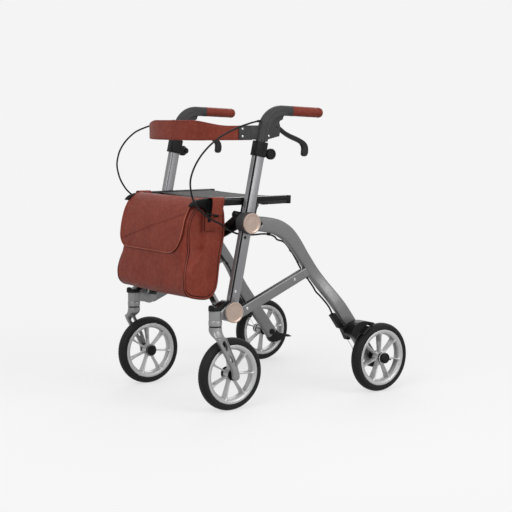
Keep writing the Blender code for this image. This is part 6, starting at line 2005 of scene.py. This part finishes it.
@dataclass
class BackStrap:
    """Bowed leather band between the handles."""

    end_x: float = 0.2052
    front: float = -0.207
    bow: float = 0.082
    lap: float = 0.045
    thick: float = 0.003
    end_z: Flat = (0.7325, 0.7715)
    middle_z: Flat = (0.731, 0.7862)

    def line(self) -> list[Vector]:
        """The band's run, seen from above."""
        path = [Vector((self.end_x, self.front + self.lap * i / 6, 0)) for i in (6, 5, 4, 3, 2, 1)]
        steps = 96
        for i in range(steps + 1):
            turn = math.pi * i / steps
            path.append(Vector((self.end_x * math.cos(turn), self.front - self.bow * math.sin(turn), 0)))
        path += [Vector((-self.end_x, self.front + self.lap * i / 6, 0)) for i in range(1, 7)]
        return path

    def spans(self) -> list[tuple[Vector, Vector, float, float]]:
        """Place, outward side, low and high edge at each step of the run."""
        line = self.line()
        lengths = run_lengths(line)
        result = []
        for i, point in enumerate(line):
            way = step_at(line, i).normalized()
            share = min(lengths[i], lengths[-1] - lengths[i]) / lengths[-1]
            swell = gentle(held((share - 0.12) / 0.22))
            low = self.end_z[0] + (self.middle_z[0] - self.end_z[0]) * swell
            high = self.end_z[1] + (self.middle_z[1] - self.end_z[1]) * swell
            result.append((point, Vector((-way.y, way.x, 0)), low, high))
        return result

    def band(self) -> Solid:
        """The band, with rounded edges and a slightly padded middle."""
        half = self.thick / 2
        rings = []
        for point, side, low, high in self.spans():
            middle = (low + high) / 2
            tall = (high - low) / 2
            ring = []
            for a, b in ((1.0, -0.94), (1.22, -0.5), (1.3, 0.0), (1.22, 0.5), (1.0, 0.94), (0.72, 0.985), (0.0, 1.0),
                    (-0.72, 0.985), (-1.0, 0.94), (-1.0, 0.5), (-1.0, 0.0), (-1.0, -0.5), (-1.0, -0.94),
                    (-0.72, -0.985), (0.0, -1.0), (0.72, -0.985)):
                ring.append(point - side * (half * a) + AXIS_Z * (middle + tall * b))
            rings.append(ring)
        return loft("strap", rings)

    def sewing(self) -> Solid:
        """Stitches along both edges, on the outer and the inner side."""
        lines = []
        inset = 0.0034
        for face in (1, -1):
            for top in (True, False):
                lines.append([point - side * (face * (self.thick / 2 + 0.0001))
                    + AXIS_Z * (high - inset if top else low + inset)
                    for point, side, low, high in self.spans()[1:-1]])
        return stitches("strap_stitches", lines, 0.0044, 0.0031, 0.0004)

    def add(self, kit: Kit, fold: Fold) -> None:
        """Build the strap and give its pieces their own meshes."""
        band = kit.add(self.band(), "back_strap_band", Stock.HIDE, "handle_left", "leather", "backrest_strap",
            smooth=60)
        sewing = kit.add(self.sewing(), "back_strap_stitches", None, "handle_left", "leather")
        for piece in (band, sewing):
            fold.crumple(piece)
        spans = self.spans()


@dataclass
class Bag:
    """Saddle bag: sagging body, side gussets, flap, loops, tabs and lining."""

    half_width: float = 0.174
    front_tuck: float = 0.016
    front_inset: float = 0.014
    edge: float = 0.024
    crown: float = 0.003
    flap_half: float = 0.16
    flap_thick: float = 0.0028
    flap_lift: float = 0.0016
    left_corner: Flat = (0.07, 0.07)
    right_corner: Flat = (0.03, 0.035)
    flap_path: tuple[Flat, ...] = tuple(rows(2, -2620, 5655, -2820, 5715, -3010, 5725, -3250, 5590, -3415, 5340,
        -3520, 5020, -3580, 4660, -3590, 4280))
    rest: tuple[Flat, ...] = tuple(rows(2, -3605, 4040, -3640, 3580, -3615, 3320, -3490, 3170, -3300, 3100,
        -2980, 3050, -2790, 3090, -2660, 3220, -2570, 3430, -2480, 4020, -2370, 4560, -2320, 4900, -2340, 5400,
        -2440, 5590))
    seam_ends: tuple[Flat, Flat] = ((-0.154, 0.4497), (0.156, 0.5378))

    def profile(self, step: float) -> list[Vector]:
        """Closed side-view outline of the body."""
        points = smooth_line([self.rest[-1], *self.flap_path, *self.rest, self.flap_path[0]], step)
        start = min(range(len(points) // 2), key=lambda i: (points[i] - Vector((*self.flap_path[0], 0))).length)
        end = min(range(len(points) // 2, len(points)), key=lambda i: (points[i] - points[start]).length)
        return [Vector((p.x, p.y)) for p in points[start:end]]

    def ring(self, profile: Sequence[Vector], side: float, inset: float, tuck: float) -> list[Vector]:
        """Outline at one step across the bag, drawn in at its upper front."""
        centre = sum(profile, Vector((0, 0))) / len(profile)
        ring = []
        for point in profile:
            share = gentle(held((point.y - 0.35) / 0.09)) * held((-0.262 - point.x) / 0.028)
            inward = (centre - point).normalized() * (self.front_tuck * share * tuck)
            x = side * (self.half_width - inset - self.front_inset * share)
            ring.append(Vector((x, point.x + inward.x, point.y + inward.y)))
        return ring

    def sagged(self, point: Vector) -> Vector:
        """A point moved by the soft unevenness of the leather."""
        across = math.cos(math.pi / 2 * point.x / self.half_width)
        low = held((0.47 - point.z) / 0.12)
        front = 1.0 if point.y < -0.31 else 0.0
        wave = math.sin(19 * point.x + 31 * point.z) + math.sin(47 * point.x - 23 * point.z + 1.3)
        out = (0.0004 * wave + 0.0016 * across) * low
        sink = 0.0022 * across * held((0.36 - point.z) / 0.05)
        return point + Vector((0, -out if front else out * 0.5, -sink))

    def body(self) -> Solid:
        """Body with crowned ends."""
        profile = self.profile(0.0048)
        centre = sum(profile, Vector((0, 0))) / len(profile)
        rings = []
        shrinks = (0.02, 0.25, 0.5, 0.72, 0.88, 0.965)
        steps = 8
        rounds = [(self.edge * (1 - math.cos(math.pi / 2 * i / steps)) * 0.9, 1 - math.sin(math.pi / 2 * i / steps))
            for i in range(steps + 1)]
        middles = 30
        for side in (-1, 1):
            ends = []
            outer = self.ring(profile, side, 0.0, 1.0)
            for shrink in shrinks:
                ring = []
                for point in outer:
                    y = centre.x + (point.y - centre.x) * shrink
                    z = centre.y + (point.z - centre.y) * shrink
                    ring.append(Vector((point.x + side * self.crown * (1 - shrink * shrink), y, z)))
                ends.append(ring)
            ends += [self.ring(profile, side, inset, tuck) for inset, tuck in rounds]
            if side < 0:
                rings += ends
                span = 2 * (self.half_width - rounds[-1][0])
                left, right = (self.ring(profile, end, rounds[-1][0], 0.0) for end in (-1, 1))
                for i in range(1, middles):
                    shift = span * i / middles
                    rings.append([a.lerp(b, shift / span) for a, b in zip(left, right)])
            else:
                rings += reversed(ends)
        return loft("bag", [[self.sagged(point) for point in ring] for ring in rings])

    def welt(self, side: int) -> Solid:
        """Rolled welt round a side panel, between two dark seams."""
        profile = self.profile(0.0048)
        ring = [self.sagged(p) for p in self.ring(profile, side, 0.001, 1.0)]
        centre = sum(ring, Vector()) / len(ring)
        parts = []
        for shift, out, radius, stock in ((0.0, 0.0006, 0.0025, Stock.HIDE), (0.0035, -0.0004, 0.0015, Stock.PIPING),
                (-0.0036, 0.0, 0.0015, Stock.PIPING)):
            line = []
            for point in ring:
                away = Vector((0, point.y - centre.y, point.z - centre.z)).normalized()
                line.append(point + away * (out - 0.0034 + shift) + AXIS_X * (side * 0.001))
            rings = []
            for i, point in enumerate(line):
                way = (line[(i + 1) % len(line)] - line[i - 1]).normalized()
                other = way.cross(AXIS_X)
                rings.append([point + AXIS_X * (a * side) + other * b for a, b in circle(radius, steps=10)])
            parts.append(painted(loft("welt", rings, around=True), stock))
        return grouped("welts", parts)

    def reach(self, x: float, length: float) -> float:
        """How far down the flap runs at x, with its two unlike round corners."""
        for gap, (across, down) in ((self.flap_half - x, self.left_corner), (self.flap_half + x, self.right_corner)):
            if gap < across:
                share = 1 - gap / across
                return length - down * (1 - math.sqrt(max(0.0, 1 - share * share)))
        return length

    def puff(self, x: float, down: float, length: float) -> float:
        """How far the flap's middle is puffed out at x and at a distance down the flap."""
        return 0.001 * math.sin(math.pi * down / length) * math.cos(math.pi / 2 * x / self.flap_half)

    def flap_tools(self) -> tuple[Callable[[float, float], Vector], float]:
        """Function from distance down the flap and lift to a place, and the flap's whole length."""
        path = smooth_line(self.flap_path, 0.003)
        lengths = run_lengths(path)

        def at(distance: float, lift: float) -> Vector:
            """Place in the side view at a distance from the hinge, lifted off the bag."""
            i = 0
            while i < len(path) - 2 and lengths[i + 1] < distance:
                i += 1
            way = (path[i + 1] - path[i]).normalized()
            point = path[i] + way * (distance - lengths[i])
            return Vector((0, point.x + way.y * lift, point.y - way.x * lift))

        return (at, lengths[-1])

    def on_flap(self, x: float, distance: float, lift: float) -> Vector:
        """Point on the flap's outer side."""
        at, _ = self.flap_tools()
        place = at(distance, self.flap_lift + self.flap_thick + lift)
        return Vector((x, place.y, place.z))

    def flap(self) -> Solid:
        """Flap as one thick sheet whose edge rises a little."""
        at, length = self.flap_tools()
        columns, rows = 84, 64
        rings = []
        for j in range(columns + 1):
            x = self.flap_half * math.sin(math.pi / 2 * (2 * j / columns - 1))
            reach = self.reach(x, length)
            side = self.flap_half - abs(x)
            ring = []
            for layer, order in ((self.flap_lift + self.flap_thick, range(rows + 1)),
                    (self.flap_lift, range(rows, -1, -1))):
                for i in order:
                    down = reach * i / rows
                    edge = min(side, reach - down)
                    thin = max(0.0, 1 - edge / 0.0015) * self.flap_thick * 0.35
                    lift = layer - thin if layer > self.flap_lift else layer + thin
                    place = at(down, lift + self.puff(x, down, length))
                    ring.append(Vector((x, place.y, place.z)))
            rings.append(ring)
        return loft("flap", rings)

    def flap_edge(self, inset: float) -> list[Vector]:
        """Line beside the flap's free edge, from the hinge down one side and up the other."""
        _, length = self.flap_tools()
        half = self.flap_half - inset
        line = []
        count = 150
        for i in range(count + 1):
            x = half * math.sin(math.pi / 2 * (2 * i / count - 1))
            down = self.reach(x * self.flap_half / half, length) - inset
            line.append((x, down))
        start = [(line[0][0], line[0][1] * k / 40) for k in range(3, 40)]
        end = [(line[-1][0], line[-1][1] * k / 40) for k in range(39, 2, -1)]
        return smooth_line([self.on_flap(x, down, self.puff(x, down, length)) for x, down in start + line + end],
            0.004)

    def seam(self) -> list[Vector]:
        """Diagonal seam across the flap."""
        at, length = self.flap_tools()
        (x0, z0), (x1, z1) = self.seam_ends
        line = []
        for i in range(61):
            share = i / 60
            x = x0 + (x1 - x0) * share
            z = z0 + (z1 - z0) * share
            low, high = 0.0, length
            for _ in range(30):
                middle = (low + high) / 2
                if at(middle, self.flap_lift + self.flap_thick).z > z:
                    low = middle
                else:
                    high = middle
            line.append(self.on_flap(x, low, self.puff(x, low, length)))
        return line

    def flap_trim(self) -> list[Solid]:
        """Rolled edge with a painted highlight, painted shadows under the edge and below the diagonal welt, the welt
        itself and the stitches of the flap.
        """
        # The rolled edge is in the lighter leather, a painted highlight.
        edge = painted(tube("edge", [p - (p - self.centre_of_flap()).normalized() * 0.0002
            for p in self.flap_edge(0.0012)], 0.0013, 10), Stock.EDGE)
        # Painted shadow: a dark tube just inside the flap's edge stands in for the shade under it.
        under = painted(tube("under", [p + (self.centre_of_flap() - p).normalized() * 0.0022
            for p in self.flap_edge(0.0006)], 0.0011, 10), Stock.PIPING)
        seam = self.seam()
        ridge = painted(tube("ridge", seam, 0.00075, 8), Stock.HIDE)
        # Painted shadow: a dark tube just below the diagonal ridge.
        crease = painted(tube("crease", [p + Vector((0, 0.0003, -0.0013)) for p in seam], 0.0005, 8), Stock.PIPING)
        sewing = stitches("flap_stitches", [self.flap_edge(0.0058), [p + AXIS_Z * 0.0032 for p in seam]], 0.0042,
            0.003, 0.00036)
        return [grouped("trim", [edge, under, ridge, crease]), sewing]

    def centre_of_flap(self) -> Vector:
        """A point inside the bag, behind the flap."""
        return Vector((0, -0.28, 0.47))

    def loop(self, side: int) -> Solid:
        """Leather loop over the end of a seat rail."""
        inner, outer = 0.1735, 0.199
        top = 0.5796
        path = [(inner, 0.533), (inner, 0.55), (inner, 0.57), (inner + 0.0012, 0.5765), (inner + 0.005, top),
            (outer - 0.005, top), (outer - 0.0012, 0.5765), (outer, 0.57), (outer, 0.55), (outer, 0.5345)]
        line = smooth_line(path, 0.003)
        rings = []
        for i, point in enumerate(line):
            way = step_at(line, i).normalized()
            out = Vector((-way.y, way.x))
            share = held((top - point.y) / (top - 0.533))
            front, back = -0.2855 - 0.004 * share, -0.247 - 0.009 * share
            ring = []
            for along, thick in ((front, -0.6), (front + 0.0008, -1), (back - 0.0008, -1), (back, -0.6), (back, 0.6),
                    (back - 0.0008, 1), (front + 0.0008, 1), (front, 0.6)):
                spot = Vector((point.x, point.y)) + out * (0.0012 * thick)
                ring.append(Vector((side * spot.x, along, spot.y)))
            rings.append(ring)
        return loft("loop", rings)

    @staticmethod
    def tab_place(side: int, x: float) -> Matrix:
        """Axes of a tab whose third points outwards, at a distance from the middle."""
        tilt = math.radians(-3)
        return axes(Vector((0, math.cos(tilt), math.sin(tilt))), Vector((0, -math.sin(tilt), math.cos(tilt))),
            AXIS_X * side, (side * x, -0.2815, 0.5115))

    def tab(self, side: int) -> Solid:
        """Leather tab sewn to the side panel below the loop."""
        outline = round_box(0.0148, 0.0215, 0.0018, 3)
        place = self.tab_place(side, 0.1762)
        tab = painted(slab("tab", outline, -0.0016, 0.0022, 0.0006, 2, place=place), Stock.HIDE)
        edge = painted(prism("edge", round_box(0.0157, 0.0224, 0.0022, 3), -0.0016, 0.0009, place), Stock.PIPING)
        return grouped("tab", [tab, edge])

    def tab_stitches(self, side: int) -> Solid:
        """Box and cross stitches on a tab."""
        place = self.tab_place(side, 0.1785)
        a, low, high = 0.0118, -0.0186, 0.004
        corners = [(-a, low), (a, low), (a, high), (-a, high)]
        runs = [[corners[0], corners[1]], [corners[1], corners[2]], [corners[2], corners[3]],
            [corners[3], corners[0]], [corners[0], corners[2]], [corners[1], corners[3]]]
        lines = [[place @ Vector((*Vector(p).lerp(Vector(q), i / 6), 0)) for i in range(7)] for p, q in runs]
        return stitches("tab_stitches", lines, 0.0034, 0.0024, 0.00036)

    def ring_cord(self, side: int) -> Solid:
        """Black ring between the loop and the tab."""
        points = []
        for i in range(28):
            turn = 2 * math.pi * i / 28
            y = -0.28 + 0.0185 * math.cos(turn)
            z = 0.5325 - 0.0035 * math.cos(turn) + 0.0022 * math.sin(turn)
            x = side * (0.186 + 0.0148 * math.sin(turn))
            points.append(Vector((x, y, z)))
        rings = []
        centre = sum(points, Vector()) / len(points)
        for i, point in enumerate(points):
            way = (points[(i + 1) % 28] - points[i - 1]).normalized()
            away = (point - centre).normalized()
            other = way.cross(away).normalized()
            away = other.cross(way).normalized()
            rings.append([point + away * a + other * b for a, b in circle(0.0021, steps=12)])
        return loft("ring", rings, around=True)

    def lining(self, side: int) -> Solid:
        """Dark lining in the gap under the flap's side, with a black strap beside it."""
        flat = smooth_outline(rows(2, -3370, 5570, -3300, 5660, -3180, 5724, -3040, 5756, -2880, 5766, -2735, 5760,
            -2750, 5560, -2810, 5200, -2860, 5170, -2900, 5440, -3050, 5560, -3205, 5590), 0.003)
        lens_x = sorted((side * 0.156, side * 0.177))
        lens = slab("lens", flat, lens_x[0], lens_x[1], 0.001, 2, 50)
        band_x = sorted((side * 0.174, side * 0.1786))
        band = slab("band", rows(2, -2905, 5140, -2790, 5120, -2735, 5735, -2860, 5735), band_x[0], band_x[1], 0.0011,
            2, 50)
        return grouped("lining", [painted(part, Stock.LINING) for part in (lens, band)])

    def add(self, kit: Kit, fold: Fold) -> None:
        """Build the bag and give its soft pieces their own meshes."""
        soft = [kit.add(self.body(), "bag_shell", Stock.HIDE, "seat_left", "leather", "bag_body", smooth=70)]
        for side in Side:
            for make, name in ((self.welt, "welt"), (self.lining, "lining"), (self.tab, "tab"),
                    (self.tab_stitches, "tab_stitches")):
                soft.append(kit.add(make(side.value), f"bag_{name}_{side.label}", None, "seat_left", "leather"))
            for make, name, stock in ((self.loop, "loop", Stock.HIDE), (self.ring_cord, "ring", Stock.BLACK)):
                kit.add(make(side.value), f"bag_{name}_{side.label}", stock, f"seat_{side.label}", "leather",
                    smooth=60)
        trim, sewing = self.flap_trim()
        flap = kit.add(self.flap(), "bag_flap_sheet", Stock.HIDE, "bag_flap", "leather", "bag_flap", smooth=70)
        trim = kit.add(trim, "bag_flap_trim", None, "bag_flap", "leather", smooth=60)
        sewing = kit.add(sewing, "bag_flap_stitches", None, "bag_flap", "leather")
        for piece in (*soft, flap, trim, sewing):
            fold.crumple(piece)
        _, length = self.flap_tools()
        LOG.info("flap: %.3f by %.3f m", 2 * self.flap_half, length)


# Studio


@dataclass
class Studio:
    """Pale floor and surround, soft lamps and the photograph's camera.

    Attributes:
        pale: Level of the floor and the surround as the camera sees them.
        camera_at: Where the camera stands.
        look_at: What it looks at.
        lens: Its focal length in millimetres.
        floor_half: Half the floor's width.
        fade: Distances over which the lit floor turns into the plain pale one.
        sky: Level of light from the surround.
        matt: Grey of the lit floor near the walker.
        glow: Light that is added to it.
        plain: Grey of the floor in indirect light.
    """

    pale: float = 0.905
    camera_at: Spot = (2.7774, -2.04525, 0.7909)
    look_at: Spot = (-0.0269, 0.04425, 0.3819)
    lens: float = 82.76
    floor_half: float = 30.0
    fade: tuple[float, float] = (0.8, 1.7)
    sky: float = 0.62
    matt: float = 0.28
    glow: float = 0.61
    plain: float = 0.35

    @staticmethod
    def seen(graph: Tree) -> Socket:
        """One where the camera, a reflection or a view through looks at a surface."""
        path = graph.add("ShaderNodeLightPath")
        either = graph.sum("MAXIMUM", path.outputs["Is Camera Ray"], path.outputs["Is Glossy Ray"])
        return graph.sum("MAXIMUM", either, path.outputs["Is Transmission Ray"])

    def floor(self) -> None:
        """Floor that stays pale and keeps the walker's shadow."""
        half = self.floor_half
        floor = mesh_of("floor", [(-half, -half, 0), (half, -half, 0), (half, half, 0), (-half, half, 0)],
            [[0, 1, 2, 3]], False)
        graph = Graph("pale_floor")
        lit = graph.add("ShaderNodeBsdfDiffuse", Color=(*[self.matt] * 3, 1))
        glow = graph.add("ShaderNodeEmission", Color=(1, 1, 1, 1), Strength=self.glow)
        far = graph.add("ShaderNodeEmission", Color=(1, 1, 1, 1), Strength=self.pale)
        away = graph.add("ShaderNodeVectorMath", {"operation": "LENGTH"}, Vector=graph.where)
        plain = graph.add("ShaderNodeBsdfDiffuse", Color=(*[self.plain] * 3, 1))
        both = graph.join("ShaderNodeAddShader", lit, glow)
        fading = graph.join("ShaderNodeMixShader", both, far, Fac=graph.ramp(away.outputs["Value"], *self.fade))
        mix = graph.join("ShaderNodeMixShader", plain, fading, Fac=self.seen(graph))
        graph.add("ShaderNodeOutputMaterial", Surface=mix.outputs[0])
        floor.data.materials.append(graph.material)

    def world(self) -> None:
        """Pale surround with a plain level of light."""
        world = bpy.data.worlds.new("studio")
        world.use_nodes = True
        bpy.context.scene.world = world
        tree = Tree(world.node_tree)
        light = tree.add("ShaderNodeBackground", Color=(1, 1, 1, 1), Strength=self.sky)
        pale = tree.add("ShaderNodeBackground", Color=(*[self.pale] * 3, 1))
        mix = tree.join("ShaderNodeMixShader", light, pale, Fac=self.seen(tree))
        tree.add("ShaderNodeOutputWorld", Surface=mix.outputs[0])

    def lamp(self, name: str, place: Sequence[float], size: Flat, watts: float) -> None:
        """Soft area lamp aimed at the walker."""
        data = bpy.data.lights.new(name, "AREA")
        data.shape = "RECTANGLE"
        data.size, data.size_y = size
        data.energy = watts
        lamp = linked(name, data)
        lamp.location = place
        lamp.rotation_euler = (Vector((0, 0, 0.4)) - Vector(place)).to_track_quat("-Z", "Y").to_euler()

    def camera(self) -> None:
        """Camera at the photograph's place."""
        data = bpy.data.cameras.new("camera")
        data.lens = self.lens
        data.sensor_width = 36
        camera = linked("camera", data)
        camera.location = self.camera_at
        way = Vector(self.look_at) - Vector(self.camera_at)
        camera.rotation_euler = way.to_track_quat("-Z", "Y").to_euler()
        bpy.context.scene.camera = camera

    def build(self) -> None:
        """Build the studio."""
        self.floor()
        self.world()
        self.lamp("key", (1.1, -2.7, 2.6), (2.4, 2.4), 56)
        self.lamp("side", (3.4, 0.9, 2.0), (2.0, 2.6), 60)
        self.lamp("back", (-2.4, 2.2, 2.4), (2.2, 2.2), 34)
        self.camera()
        bpy.context.scene.view_settings.view_transform = "Standard"


def main() -> None:
    """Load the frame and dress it."""
    logging.basicConfig(level=logging.INFO, format="%(message)s")
    for old in list(bpy.data.objects):
        bpy.data.objects.remove(old)
    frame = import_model()
    kit = Kit(frame)
    Studio().build()
    Wheel(REAR_WHEEL, "rear", (1.6, 18.5)).add(kit)
    Wheel(FRONT_WHEEL, "front", (9.3, 5.0)).add(kit)
    RearAxle().add(kit)
    Caster().add(kit)
    side = SideFrame()
    side.add(kit)
    Handle().add(kit)
    RearBrake().add(kit, side)
    Cables().add(kit)
    fold = Fold()
    Scissor().add(kit)
    Seat().add(kit, fold)
    BackStrap().add(kit, fold)
    Bag().add(kit, fold)


if __name__ == "__main__":
    main()
